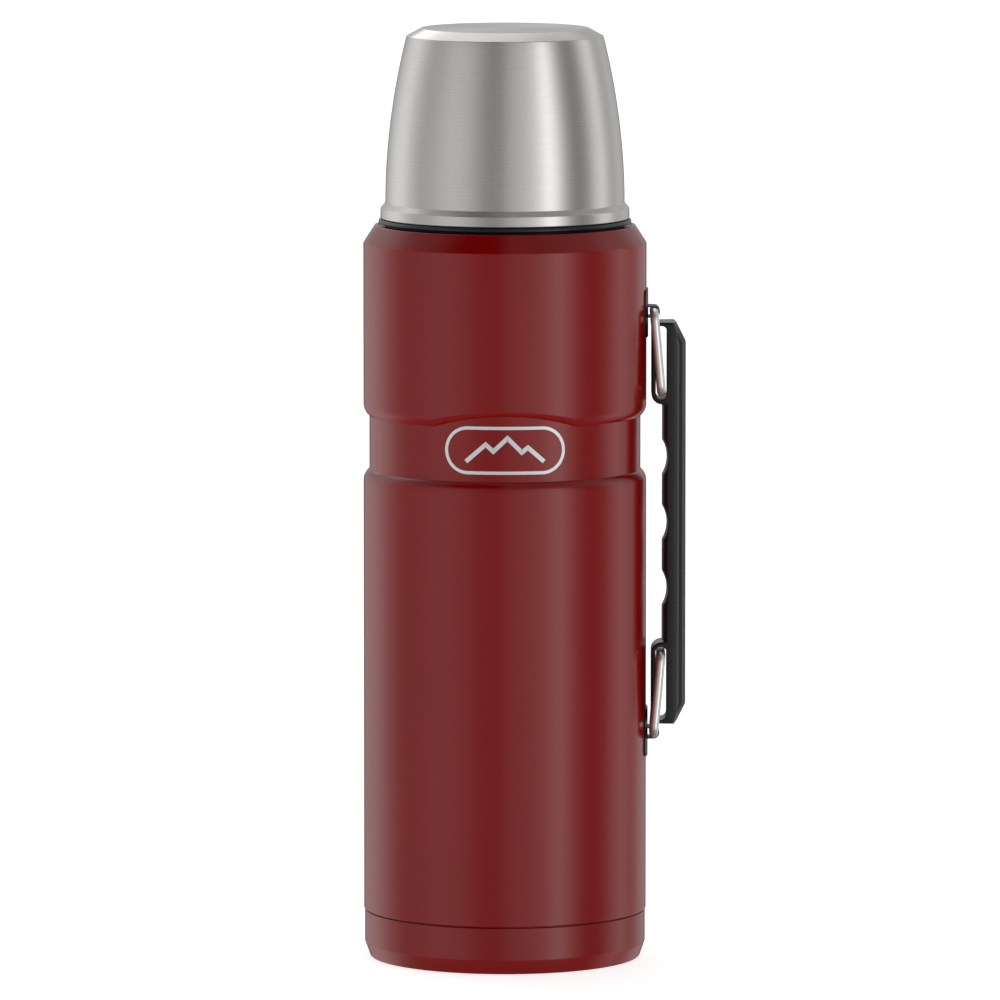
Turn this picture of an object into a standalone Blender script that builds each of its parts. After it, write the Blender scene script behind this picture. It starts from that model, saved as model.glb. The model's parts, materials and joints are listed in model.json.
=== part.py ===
"""Two-litre vacuum bottle: steel body, screw-on cup, stopper, and a carrying handle on two wire rings.

The bottle stands on z = 0 with its axis on Z. The handle lies in the XZ plane on the +X side.
Lengths are written in millimetres, and metres() turns them into Blender's units.
"""

import math

import bmesh
import bpy
from mathutils import Matrix

# ---------------------------------------------------------------- driving dimensions, in millimetres
FACETS = 32  # sides of every large turned piece
SMALL_FACETS = 16  # sides of small turned pieces
GAP = 0.3  # clearance between neighbouring pieces

# Steel body
HEIGHT = 369.0
BODY_R = 56.0
SHELL_WALL = 0.6
WAIST_R = 53.68
WAIST_Z = (194.5, 215.8)  # straight part of the narrow waist
WAIST_STEP_Z = (190.1, 220.4)  # where the waist's rounded steps meet the full radius
BASE_SEAM_Z = 19.0
SKIRT_R = 54.6  # lower end of the outer shell, inside the base cap
SKIRT_END_Z = 6.4
PLATE_Z = (6.8, 9.0)  # rim and top of the bottom plate
SHOULDER_Z = 284.2
LIP_R = 51.4
LIP_Z = 291.0
LEDGE_Z = 290.6
COLLAR_R = 41.5
COLLAR_TOP_Z = 302.0
MOUTH_R = 28.2
MOUTH_Z = 315.6

# Base cap
BASE_CAP_R = 55.67
BASE_CAP_WALL = 0.7
BASE_FOOT_R = 53.2
BASE_CHAMFER_Z = 5.9
BASE_GROOVE_R = (36.0, 39.5)
BASE_GROOVE_DEPTH = 0.6

# Inner vessel
LINER_R = 51.0
LINER_WALL = 0.5
LINER_FLOOR_Z = 12.5
LINER_NECK_R = 27.2
LINER_LIP_R = 28.4
LINER_LIP_Z = (316.0, 316.6)
SHIELD_R = 51.6
SHIELD_FOIL = 0.1
SHIELD_Z = (24.0, 254.0)
PORT_R = 2.5  # hole in the bottom plate through which the air is pumped out
GETTER_HEIGHT = 2.0

# Cup
CUP_RIM_Z = 294.0
CUP_RIM_R = 49.25
CUP_BEAD_R = 47.28  # foot of the cup's domed side
CUP_BEAD_Z = 301.0
CUP_SHOULDER_R = 38.9
CUP_SHOULDER_Z = 365.9
CUP_TOP_R = 33.2
CUP_WALL = 0.5
CUP_LINER_WALL = 1.3
DOME_POWER = 1.95  # the side bows in with this power of the height
DOME_STEPS = 6
CUP_SLEEVE_R = 43.2  # inside of the thick threaded sleeve at the cup's mouth
CUP_SLEEVE_TOP_Z = 304.5
RIM_RING_R = 50.03
RIM_BULGE_Z = (292.1, 293.1)  # lower edge and middle of the rim ring's rounded outside

# Threads: lead, turns, half widths of the ridge at its root and crest
CUP_LEAD = 5.0
STOPPER_LEAD = 4.0
THREAD_TURNS = 1.25
THREAD_START = 4.0  # degrees, so that a ridge's edges miss the facets' own edges
CUP_RIDGE = (0.9, 0.5)
STOPPER_RIDGE = (0.75, 0.4)
CUP_THREAD_Z = 294.2  # start of the collar's ridge, half a lead under the cup's own
STOPPER_THREAD_Z = 300.0  # start of the neck's ridge, half a lead under the stopper's own
RIDGE_HEIGHT = 1.1
RIDGE_ROOT = 0.3  # how far a ridge sinks into the wall that carries it

# Stopper
STOPPER_R = 24.9
STOPPER_WALL = 2.0
STOPPER_FLOOR_Z = 292.0
FLANGE_R = 28.6
FLANGE_Z = (318.6, 320.6)
KNOB_R = 28.8
KNOB_TOP_Z = 336.0
POUR_SLOT_WIDTH = 9.0
POUR_SLOT_DEPTH = 0.7
SEAL_R = 26.2
SPOOL_R = 21.0

# Handle, brackets and wire rings
HANDLE_HALF_WIDTH = 8.5
HANDLE_BEVEL = 1.4
HANDLE_OUTER_X = 71.5
GRIP_INNER_X = 62.1
LOBE_INNER_X = 57.9
SLOT_X = (59.6, 64.0)
SLOT_LENGTH = 29.2
HANDLE_MID_Z = 173.15
HANDLE_HALF_LENGTH = 79.85
LOBE_END = 47.3  # from the handle's middle to the inner end of each lobe
SCALLOP_PITCH = 26.1
SCALLOP_HALF = 7.5
SCALLOP_DEPTH = 2.0
PIVOT_X = 58.95
PIVOT_Z = (89.3, 257.0)
WIRE_R = 1.65
RING_LENGTH = 31.8  # from the pivot bar to the bar that carries the handle
RING_TILT = 5.2  # degrees from the vertical at rest
RING_HALF_WIDTH = 11.3
RING_BEND_R = 3.6
BRACKET_WALL = 0.6
BRACKET_HALF_WIDTH = 10.5
BRACKET_HALF_HEIGHT = 9.4
BRACKET_SHIFT = 0.45  # each plate's middle is this much nearer to the grip's middle than its pivot is
LOOP_HALF_WIDTH = 7.6
LOOP_R = 1.95
LOOP_WALL = 0.45

# Finishes: colour (linear RGB), roughness, metallic
PAINT = ((0.160, 0.006, 0.007), 0.35, 0.0)
BRUSHED_STEEL = ((0.55, 0.55, 0.56), 0.32, 1.0)
BRIGHT_STEEL = ((0.75, 0.75, 0.76), 0.12, 1.0)
BLACK_PLASTIC = ((0.020, 0.020, 0.021), 0.45, 0.0)
BLACK_RUBBER = ((0.014, 0.014, 0.015), 0.60, 0.0)
BLACK_ENAMEL = ((0.010, 0.010, 0.011), 0.40, 0.0)
COPPER_FOIL = ((0.700, 0.330, 0.190), 0.25, 1.0)
GETTER_ALLOY = ((0.300, 0.300, 0.310), 0.60, 1.0)
FOAM = ((0.800, 0.760, 0.640), 0.90, 0.0)
SILICONE = ((0.550, 0.560, 0.560), 0.55, 0.0)


# ---------------------------------------------------------------- helpers
def metres(length):
    """A length in millimetres as Blender's metres."""
    return length * 0.001


def clear_scene():
    for obj in list(bpy.data.objects):
        bpy.data.objects.remove(obj, do_unlink=True)


def new_collection(name, hidden=False):
    collection = bpy.data.collections.new(name)
    collection.hide_render = hidden
    bpy.context.scene.collection.children.link(collection)
    return collection


def principled(name, finish):
    """A material of the piece's own, from a (colour, roughness, metallic) finish."""
    colour, roughness, metallic = finish
    material = bpy.data.materials.new(name)
    material.use_nodes = True
    shader = material.node_tree.nodes["Principled BSDF"]
    shader.inputs["Base Color"].default_value = (*colour, 1.0)
    shader.inputs["Roughness"].default_value = roughness
    shader.inputs["Metallic"].default_value = metallic
    material.diffuse_color = (*colour, 1.0)
    return material


def add_object(name, data, finish):
    obj = bpy.data.objects.new(name, data)
    data.materials.append(principled(name, finish))
    parts.objects.link(obj)
    return obj


def add_cutter(name, mesh):
    obj = bpy.data.objects.new(name, mesh)
    obj.hide_render = True
    obj.display_type = "WIRE"
    cutters.objects.link(obj)
    return obj


def profile_mesh(name, points, closed):
    """A chain of edges through (radius, height) points in the XZ plane."""
    mesh = bpy.data.meshes.new(name)
    count = len(points)
    edges = [(i, i + 1) for i in range(count - 1)]
    if closed:
        edges.append((count - 1, 0))
    mesh.from_pydata([(metres(r), 0.0, metres(z)) for r, z in points], edges, [])
    return mesh


def screw(obj, steps=FACETS, turns=1.0, lift=0.0):
    """Turn the object's profile about Z, rising by lift over the whole sweep."""
    modifier = obj.modifiers.new("turn", "SCREW")
    modifier.axis = "Z"
    modifier.steps = steps
    modifier.render_steps = steps
    modifier.angle = turns * math.tau
    modifier.screw_offset = metres(lift)
    modifier.use_merge_vertices = lift == 0.0
    modifier.merge_threshold = 0.00001
    modifier.use_smooth_shade = False
    return modifier


def turned(name, points, finish, facets=FACETS, closed=True):
    """A turned piece. The profile runs down its outer side; an open one starts and ends on the axis."""
    obj = add_object(name, profile_mesh(name, points, closed), finish)
    screw(obj, facets)
    return obj


def evaluated_mesh(obj):
    graph = bpy.context.evaluated_depsgraph_get()
    mesh = bpy.data.meshes.new_from_object(obj.evaluated_get(graph))
    mesh.transform(obj.matrix_world)
    return mesh


def boolean(obj, other, operation):
    modifier = obj.modifiers.new(operation.lower(), "BOOLEAN")
    modifier.operation = operation
    modifier.object = other
    modifier.solver = "EXACT"
    return modifier


def thread_ridge(name, wall_r, outward, start_z, lead, ridge):
    """A right-handed helical ridge on a wall, closed at both ends, ready to be joined to that wall."""
    root, crest = ridge
    side = 1 if outward else -1
    base_r = wall_r - side * RIDGE_ROOT
    crest_r = wall_r + side * RIDGE_HEIGHT
    profile = [
        (crest_r, start_z + crest),
        (crest_r, start_z - crest),
        (base_r, start_z - root),
        (base_r, start_z + root),
    ]
    guide = bpy.data.objects.new(name, profile_mesh(name, profile, closed=True))
    bpy.context.scene.collection.objects.link(guide)
    guide.rotation_euler = (0.0, 0.0, math.radians(THREAD_START))
    screw(guide, round(FACETS * THREAD_TURNS), THREAD_TURNS, lead * THREAD_TURNS)
    bpy.context.view_layer.update()
    mesh = evaluated_mesh(guide)
    bpy.data.objects.remove(guide, do_unlink=True)
    form = bmesh.new()
    form.from_mesh(mesh)
    bmesh.ops.holes_fill(form, edges=[e for e in form.edges if e.is_boundary], sides=0)
    bmesh.ops.recalc_face_normals(form, faces=form.faces)
    form.to_mesh(mesh)
    form.free()
    return add_cutter(name, mesh)


def box_cutter(name, low, high):
    form = bmesh.new()
    size = [metres(b - a) for a, b in zip(low, high)]
    centre = [metres((a + b) / 2) for a, b in zip(low, high)]
    bmesh.ops.create_cube(form, size=1.0, matrix=Matrix.Translation(centre) @ Matrix.Diagonal((*size, 1.0)))
    mesh = bpy.data.meshes.new(name)
    form.to_mesh(mesh)
    form.free()
    return add_cutter(name, mesh)


def arc(centre, radius, start, end, steps):
    """Points on an arc about centre, with the angles in degrees."""
    angles = [math.radians(start + (end - start) * i / steps) for i in range(steps + 1)]
    return [(centre[0] + radius * math.cos(a), centre[1] + radius * math.sin(a)) for a in angles]


def plate_mesh(name, outline, half_width, bevel=0.0):
    """A plate across y = 0 with the given XZ outline, its two flat sides' edges rounded by bevel."""
    curve = bpy.data.curves.new(name, "CURVE")
    curve.dimensions = "2D"
    curve.fill_mode = "BOTH"
    curve.extrude = metres(half_width)
    spline = curve.splines.new("POLY")
    spline.points.add(len(outline) - 1)
    for point, (x, z) in zip(spline.points, outline):
        point.co = (metres(x), metres(z), 0.0, 1.0)
    spline.use_cyclic_u = True
    guide = bpy.data.objects.new(name, curve)
    guide.rotation_euler = (math.pi / 2, 0.0, 0.0)
    bpy.context.scene.collection.objects.link(guide)
    bpy.context.view_layer.update()
    mesh = evaluated_mesh(guide)
    bpy.data.objects.remove(guide, do_unlink=True)
    form = bmesh.new()
    form.from_mesh(mesh)
    bmesh.ops.remove_doubles(form, verts=form.verts, dist=0.00001)
    bmesh.ops.dissolve_limit(form, angle_limit=0.01, verts=form.verts, edges=form.edges)
    if bevel:
        sides = [f for f in form.faces if abs(f.normal.y) > 0.99]
        rims = list({e for f in sides for e in f.edges})
        bmesh.ops.bevel(form, geom=rims, offset=metres(bevel), segments=2, affect="EDGES")
    bmesh.ops.recalc_face_normals(form, faces=form.faces)
    form.to_mesh(mesh)
    form.free()
    return mesh


# ---------------------------------------------------------------- steel body
def outer_shell():
    """Painted outer shell: skirt, waist, shoulder, threaded collar for the cup, and the mouth."""
    outer = [
        (MOUTH_R, MOUTH_Z),
        (MOUTH_R, COLLAR_TOP_Z + 7.0),
        (MOUTH_R + 2.3, COLLAR_TOP_Z + 4.0),
        (38.0, COLLAR_TOP_Z + 2.6),
        (COLLAR_R - 0.5, COLLAR_TOP_Z + 1.4),
        (COLLAR_R, COLLAR_TOP_Z),
        (COLLAR_R, LEDGE_Z + 0.6),
        (COLLAR_R + 0.6, LEDGE_Z),
        (LIP_R - 1.2, LEDGE_Z),
        (LIP_R - 0.8, LIP_Z + 0.3),
        (LIP_R, LIP_Z),
        (BODY_R, SHOULDER_Z),
        (BODY_R, WAIST_STEP_Z[1]),
        (BODY_R - 1.1, WAIST_Z[1] + 1.8),
        (WAIST_R, WAIST_Z[1]),
        (WAIST_R, WAIST_Z[0]),
        (BODY_R - 0.7, WAIST_STEP_Z[0] + 1.9),
        (BODY_R, WAIST_STEP_Z[0]),
        (BODY_R, BASE_SEAM_Z + 0.4),
        (BODY_R - 0.4, BASE_SEAM_Z),
        (SKIRT_R, BASE_SEAM_Z),
        (SKIRT_R, SKIRT_END_Z),
    ]
    wall = SHELL_WALL
    inner = [
        (SKIRT_R - wall, SKIRT_END_Z),
        (SKIRT_R - wall, BASE_SEAM_Z + wall),
        (BODY_R - wall, BASE_SEAM_Z + 1.0),
        (BODY_R - wall, WAIST_STEP_Z[0] - 0.2),
        (BODY_R - 0.7 - wall, WAIST_STEP_Z[0] + 1.6),
        (WAIST_R - wall, WAIST_Z[0] - 0.3),
        (WAIST_R - wall, WAIST_Z[1] + 0.3),
        (BODY_R - 1.1 - wall, WAIST_Z[1] + 2.1),
        (BODY_R - wall, WAIST_STEP_Z[1] + 0.2),
        (BODY_R - wall, SHOULDER_Z - 0.3),
        (LIP_R - 0.1, LEDGE_Z - wall),
        (COLLAR_R - wall, LEDGE_Z - wall),
        (COLLAR_R - wall, COLLAR_TOP_Z - 0.2),
        (COLLAR_R - 1.0, COLLAR_TOP_Z + 0.9),
        (37.8, COLLAR_TOP_Z + 2.0),
        (MOUTH_R + 2.0, COLLAR_TOP_Z + 3.4),
        (MOUTH_R - wall, COLLAR_TOP_Z + 6.6),
        (MOUTH_R - wall, MOUTH_Z),
    ]
    obj = turned("outer_shell", outer + inner, PAINT)
    ridge = thread_ridge("collar_thread", COLLAR_R, True, CUP_THREAD_Z, CUP_LEAD, CUP_RIDGE)
    boolean(obj, ridge, "UNION")


def base_cap():
    """Steel cap pressed over the shell's skirt, with a flat foot and one pressed groove."""
    wall = BASE_CAP_WALL
    top = BASE_SEAM_Z - 0.4
    low, high = BASE_GROOVE_R
    inner = [
        (0.0, wall),
        (low - 0.3, wall),
        (low + 0.3, wall + BASE_GROOVE_DEPTH),
        (high - 0.3, wall + BASE_GROOVE_DEPTH),
        (high + 0.3, wall),
        (BASE_FOOT_R - 0.3, wall),
        (BASE_CAP_R - wall, BASE_CHAMFER_Z + 0.2),
        (BASE_CAP_R - wall, top),
    ]
    outer = [
        (BASE_CAP_R, top),
        (BASE_CAP_R, BASE_CHAMFER_Z),
        (BASE_FOOT_R + 0.4, 0.4),
        (BASE_FOOT_R, 0.0),
        (high, 0.0),
        (high - 0.6, BASE_GROOVE_DEPTH),
        (low + 0.6, BASE_GROOVE_DEPTH),
        (low, 0.0),
        (0.0, 0.0),
    ]
    turned("base_cap", inner + outer, PAINT, closed=False)


def vacuum_closure():
    """Bottom plate welded in the skirt, the plug that seals its pumping port, and the getter above it."""
    rim = SKIRT_R - SHELL_WALL - GAP
    low, high = PLATE_Z
    under = high - SHELL_WALL
    plate = [(rim, high), (rim, low), (rim - 0.6, low), (rim - 0.6, under), (PORT_R, under), (PORT_R, high)]
    turned("bottom_plate", plate, BRUSHED_STEEL)
    stem = PORT_R - 0.4
    tip, head = high + 0.6, under - 0.4
    foot = head - 1.0
    plug = [(0.0, tip), (stem, tip), (stem, head), (stem + 2.4, head), (stem + 2.4, foot), (0.0, foot)]
    turned("vacuum_seal_plug", plug, BRUSHED_STEEL, SMALL_FACETS, closed=False)
    getter_r = 5.0
    form = bmesh.new()
    bmesh.ops.create_cone(
        form,
        cap_ends=True,
        segments=SMALL_FACETS,
        radius1=metres(getter_r),
        radius2=metres(getter_r - 0.4),
        depth=metres(GETTER_HEIGHT),
    )
    mesh = bpy.data.meshes.new("getter")
    form.to_mesh(mesh)
    form.free()
    getter = add_object("getter", mesh, GETTER_ALLOY)
    getter.location = (metres(22.0), 0.0, metres(high + 0.5 + GETTER_HEIGHT / 2))


def inner_vessel():
    """Steel liner that holds the drink, with the stopper's thread in its neck and a rolled lip on top."""
    wall = LINER_WALL
    inner = [
        (0.0, LINER_FLOOR_Z + wall),
        (42.8, LINER_FLOOR_Z + wall),
        (48.1, LINER_FLOOR_Z + 2.9),
        (LINER_R - wall, LINER_FLOOR_Z + 9.7),
        (LINER_R - wall, 256.8),
        (48.2, 266.1),
        (40.7, 273.0),
        (29.6, 280.5),
        (LINER_NECK_R - 0.6, 285.7),
        (LINER_NECK_R - 0.6, LINER_LIP_Z[1]),
    ]
    outer = [
        (LINER_LIP_R, LINER_LIP_Z[1]),
        (LINER_LIP_R, LINER_LIP_Z[0]),
        (LINER_NECK_R, LINER_LIP_Z[0]),
        (LINER_NECK_R, 286.0),
        (30.0, 281.0),
        (41.0, 273.5),
        (48.6, 266.5),
        (LINER_R, 257.0),
        (LINER_R, LINER_FLOOR_Z + 9.5),
        (48.5, LINER_FLOOR_Z + 2.5),
        (43.0, LINER_FLOOR_Z),
        (0.0, LINER_FLOOR_Z),
    ]
    obj = turned("inner_vessel", inner + outer, BRUSHED_STEEL, closed=False)
    neck = LINER_NECK_R - 0.6
    ridge = thread_ridge("neck_thread", neck, False, STOPPER_THREAD_Z, STOPPER_LEAD, STOPPER_RIDGE)
    boolean(obj, ridge, "UNION")


def radiation_shield():
    """Copper foil round the liner, which keeps radiant heat in."""
    low, high = SHIELD_Z
    outer = SHIELD_R + SHIELD_FOIL
    turned("radiation_shield", [(outer, high), (outer, low), (SHIELD_R, low), (SHIELD_R, high)], COPPER_FOIL)


# ---------------------------------------------------------------- cup
def dome(offset, low_z, high_z):
    """The cup's bowed side, moved in by offset: the radius falls with a power of the height."""
    points = []
    for i in range(DOME_STEPS + 1):
        z = high_z + (low_z - high_z) * i / DOME_STEPS
        share = (z - CUP_BEAD_Z) / (CUP_SHOULDER_Z - CUP_BEAD_Z)
        drop = (CUP_BEAD_R - CUP_SHOULDER_R) * max(share, 0.0) ** DOME_POWER
        points.append((CUP_BEAD_R - drop - offset, z))
    return points


def cup_outer_shell():
    """Brushed steel outside of the cup, open at the bottom."""
    wall = CUP_WALL
    outer = [(0.0, HEIGHT), (CUP_TOP_R, HEIGHT)]
    outer += dome(0.0, CUP_BEAD_Z, CUP_SHOULDER_Z)
    outer += [(CUP_RIM_R - 0.2, 298.2), (CUP_RIM_R, CUP_RIM_Z)]
    inner = [(CUP_RIM_R - wall, CUP_RIM_Z), (CUP_RIM_R - 0.2 - wall, 298.0)]
    inner += dome(wall, CUP_BEAD_Z, CUP_SHOULDER_Z - 0.3)[::-1]
    inner += [(CUP_TOP_R - 0.2, HEIGHT - wall), (0.0, HEIGHT - wall)]
    turned("cup_outer_shell", outer + inner, BRUSHED_STEEL, closed=False)


def cup_inner_liner():
    """Plastic inside of the cup: the drinking bowl and the threaded sleeve that grips the collar."""
    skin = CUP_WALL + GAP
    inside = skin + CUP_LINER_WALL
    outer = [(0.0, HEIGHT - skin), (CUP_TOP_R - 0.3, HEIGHT - skin)]
    outer += dome(skin, CUP_BEAD_Z, CUP_SHOULDER_Z - 0.4)
    outer += [(CUP_RIM_R - 0.2 - skin, 297.9), (CUP_RIM_R - skin, CUP_RIM_Z)]
    inner = [(CUP_SLEEVE_R, CUP_RIM_Z), (CUP_SLEEVE_R, CUP_SLEEVE_TOP_Z)]
    inner += dome(inside, CUP_SLEEVE_TOP_Z + 2.5, CUP_SHOULDER_Z - 1.0)[::-1]
    inner += [(CUP_TOP_R - 0.8, HEIGHT - inside), (0.0, HEIGHT - inside)]
    obj = turned("cup_inner_liner", outer + inner, BLACK_PLASTIC, closed=False)
    start = CUP_THREAD_Z + CUP_LEAD / 2
    ridge = thread_ridge("sleeve_thread", CUP_SLEEVE_R, False, start, CUP_LEAD, CUP_RIDGE)
    boolean(obj, ridge, "UNION")


def cup_rim_ring():
    """Black ring under the cup's mouth, with a foot that seats on the shoulder's ledge."""
    inner = 43.9
    profile = [
        (RIM_RING_R - 0.5, CUP_RIM_Z - GAP),
        (RIM_RING_R, RIM_BULGE_Z[1]),
        (RIM_RING_R - 0.3, RIM_BULGE_Z[0]),
        (47.5, RIM_BULGE_Z[0]),
        (47.5, LEDGE_Z + 0.35),
        (inner, LEDGE_Z + 0.35),
        (inner, CUP_RIM_Z - GAP),
    ]
    turned("cup_rim_ring", profile, BLACK_RUBBER)


# ---------------------------------------------------------------- stopper
def stopper_body():
    """Threaded plug with a flange and two pour channels down its sides."""
    bore = STOPPER_R - STOPPER_WALL
    profile = [
        (0.0, STOPPER_FLOOR_Z + 1.5),
        (bore, STOPPER_FLOOR_Z + 1.5),
        (bore, FLANGE_Z[1]),
        (FLANGE_R, FLANGE_Z[1]),
        (FLANGE_R, FLANGE_Z[0]),
        (STOPPER_R, FLANGE_Z[0]),
        (STOPPER_R, STOPPER_FLOOR_Z),
        (0.0, STOPPER_FLOOR_Z),
    ]
    obj = turned("stopper_body", profile, BLACK_PLASTIC, closed=False)
    start = STOPPER_THREAD_Z + STOPPER_LEAD / 2
    ridge = thread_ridge("stopper_thread", STOPPER_R, True, start, STOPPER_LEAD, STOPPER_RIDGE)
    boolean(obj, ridge, "UNION")
    half = POUR_SLOT_WIDTH / 2
    depth = STOPPER_R - POUR_SLOT_DEPTH
    for side in (-1, 1):
        ends = sorted((side * depth, side * (STOPPER_R + 4.0)))
        low = (ends[0], -half, STOPPER_FLOOR_Z - 1.0)
        high = (ends[1], half, FLANGE_Z[0] - 1.0)
        name = "pour_channel_left" if side < 0 else "pour_channel_right"
        boolean(obj, box_cutter(name, low, high), "DIFFERENCE")


def stopper_cap():
    """Hollow knob that closes the top of the stopper."""
    bottom = FLANGE_Z[1] + GAP
    profile = [
        (0.0, KNOB_TOP_Z),
        (24.5, KNOB_TOP_Z),
        (26.8, KNOB_TOP_Z - 1.6),
        (KNOB_R, bottom + 1.4),
        (KNOB_R, bottom),
        (KNOB_R - 2.0, bottom),
        (24.8, KNOB_TOP_Z - 2.4),
        (0.0, KNOB_TOP_Z - 2.0),
    ]
    turned("stopper_cap", profile, BLACK_PLASTIC, closed=False)


def stopper_core():
    """Insulating foam inside the stopper."""
    radius = STOPPER_R - STOPPER_WALL - 0.4
    top, bottom = KNOB_TOP_Z - 3.2, STOPPER_FLOOR_Z + 1.5 + GAP
    turned("stopper_core", [(0.0, top), (radius, top), (radius, bottom), (0.0, bottom)], FOAM, closed=False)


def stopper_base():
    """Spool under the plug that carries the lower seal."""
    top = STOPPER_FLOOR_Z - GAP
    profile = [
        (0.0, top),
        (23.5, top),
        (23.5, top - 0.7),
        (SPOOL_R, top - 0.7),
        (SPOOL_R, 286.5),
        (24.0, 286.5),
        (23.4, 285.0),
        (0.0, 285.0),
    ]
    turned("stopper_base", profile, BLACK_PLASTIC, closed=False)


def stopper_seals():
    """Silicone seal that closes the neck's foot, and the flat ring under the flange."""
    bore = SPOOL_R + 0.4
    seal = [(SEAL_R, 290.7), (SEAL_R, 288.6), (SEAL_R - 0.9, 286.8), (bore, 286.8), (bore, 290.7)]
    turned("stopper_seal", seal, SILICONE)
    top, bottom = FLANGE_Z[0] - GAP, LINER_LIP_Z[1] + 0.35
    inner = STOPPER_R + 0.5
    flat = [(LINER_LIP_R, top), (LINER_LIP_R, bottom), (inner, bottom), (inner, top)]
    turned("stopper_oring", flat, SILICONE)


# ---------------------------------------------------------------- brackets, rings and handle
def bracket(name, pivot_z):
    """Curved plate on the body with a loop that holds a wire ring's pivot bar."""
    low_r = BODY_R + GAP
    high_r = low_r + BRACKET_WALL
    middle_z = pivot_z + math.copysign(BRACKET_SHIFT, HANDLE_MID_Z - pivot_z)
    low_z, high_z = middle_z - BRACKET_HALF_HEIGHT, middle_z + BRACKET_HALF_HEIGHT
    band = [(high_r, high_z), (high_r, low_z), (low_r, low_z), (low_r, high_z)]
    plate = turned(name, band, BLACK_ENAMEL)
    near = (BODY_R * 0.8, -BRACKET_HALF_WIDTH, low_z - 1.0)
    far = (BODY_R + 10.0, BRACKET_HALF_WIDTH, high_z + 1.0)
    boolean(plate, box_cutter(f"{name}_window", near, far), "INTERSECT")
    foot_x = low_r + 0.25
    pivot = (PIVOT_X, pivot_z)
    outside = arc(pivot, LOOP_R + LOOP_WALL, -90.0, 90.0, 8)
    inside = arc(pivot, LOOP_R, 90.0, -90.0, 8)
    top_z, bottom_z = pivot_z + LOOP_R, pivot_z - LOOP_R
    outer_side = [(foot_x, bottom_z - LOOP_WALL), *outside, (foot_x, top_z + LOOP_WALL)]
    inner_side = [(foot_x, top_z), *inside, (foot_x, bottom_z)]
    loop_name = f"{name}_loop"
    loop = plate_mesh(loop_name, outer_side + inner_side, LOOP_HALF_WIDTH)
    boolean(plate, add_cutter(loop_name, loop), "UNION")


def wire_ring(name, pivot_z, direction):
    """Closed wire loop: its pivot bar lies in a bracket, and its other bar hangs or stands away from it."""
    curve = bpy.data.curves.new(name, "CURVE")
    curve.dimensions = "3D"
    curve.bevel_depth = metres(WIRE_R)
    curve.bevel_resolution = 2
    bend, half, length = RING_BEND_R, RING_HALF_WIDTH, RING_LENGTH
    corners = [
        arc((half - bend, bend), bend, -90.0, 0.0, 4),
        arc((half - bend, length - bend), bend, 0.0, 90.0, 4),
        arc((bend - half, length - bend), bend, 90.0, 180.0, 4),
        arc((bend - half, bend), bend, 180.0, 270.0, 4),
    ]
    route = [point for corner in corners for point in corner]
    spline = curve.splines.new("POLY")
    spline.points.add(len(route) - 1)
    for point, (across, along) in zip(spline.points, route):
        point.co = (0.0, metres(across), metres(along), 1.0)
    spline.use_cyclic_u = True
    ring = add_object(name, curve, BRIGHT_STEEL)
    ring.location = (metres(PIVOT_X), 0.0, metres(pivot_z))
    tilt = math.radians(RING_TILT)
    ring.rotation_euler = (0.0, tilt if direction > 0 else math.pi - tilt, 0.0)


def handle_outline():
    """Half of the handle's side view, from its middle up, as (x, distance from the middle)."""
    lobe_r = SLOT_X[1] - LOBE_INNER_X
    chamfer_x, chamfer_z = 4.0, 8.0
    end = HANDLE_HALF_LENGTH
    outer = [(HANDLE_OUTER_X, end - chamfer_z), (HANDLE_OUTER_X - chamfer_x, end)]
    top = [(LOBE_INNER_X + 1.5, end), (LOBE_INNER_X, end - 1.5)]
    centre = (LOBE_INNER_X + lobe_r / 2 + 0.9, LOBE_END + lobe_r / 2 + 0.9)
    lobe = arc(centre, lobe_r / 2 + 0.9, 180.0, 250.0, 4)
    grip = [(GRIP_INNER_X, LOBE_END + 0.4)]
    scallops = []
    for middle in (SCALLOP_PITCH, 0.0):
        for i in range(9):
            share = 1 - i / 4
            across = SCALLOP_DEPTH * 0.5 * (1 + math.cos(math.pi * share))
            scallops.append((GRIP_INNER_X + across, middle + share * SCALLOP_HALF))
    return outer + top + lobe + grip + [p for p in scallops if p[1] > 0.01]


def mirrored(points):
    """Points above the handle's middle, closed by their mirror image below it, as (x, height)."""
    upper = [(x, HANDLE_MID_Z + z) for x, z in points]
    lower = [(x, HANDLE_MID_Z - z) for x, z in points[::-1]]
    return upper + lower


def slot_outline(side):
    """Round-ended slot for a ring's bar, near one end of the handle."""
    radius = (SLOT_X[1] - SLOT_X[0]) / 2
    x = (SLOT_X[0] + SLOT_X[1]) / 2
    ends = sorted((side * (LOBE_END + 1.9 + radius), side * (LOBE_END + 1.9 + SLOT_LENGTH - radius)))
    top = arc((x, HANDLE_MID_Z + ends[1]), radius, 0.0, 180.0, 6)
    bottom = arc((x, HANDLE_MID_Z + ends[0]), radius, 180.0, 360.0, 6)
    return top + bottom


def handle_grip():
    """Moulded grip: finger scallops on its inner face, and a slotted lobe at each end."""
    mesh = plate_mesh("handle_grip", mirrored(handle_outline()), HANDLE_HALF_WIDTH, HANDLE_BEVEL)
    grip = add_object("handle_grip", mesh, BLACK_PLASTIC)
    for name, side in (("upper_slot", 1), ("lower_slot", -1)):
        cutter = add_cutter(name, plate_mesh(name, slot_outline(side), HANDLE_HALF_WIDTH + 2.0))
        boolean(grip, cutter, "DIFFERENCE")


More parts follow.
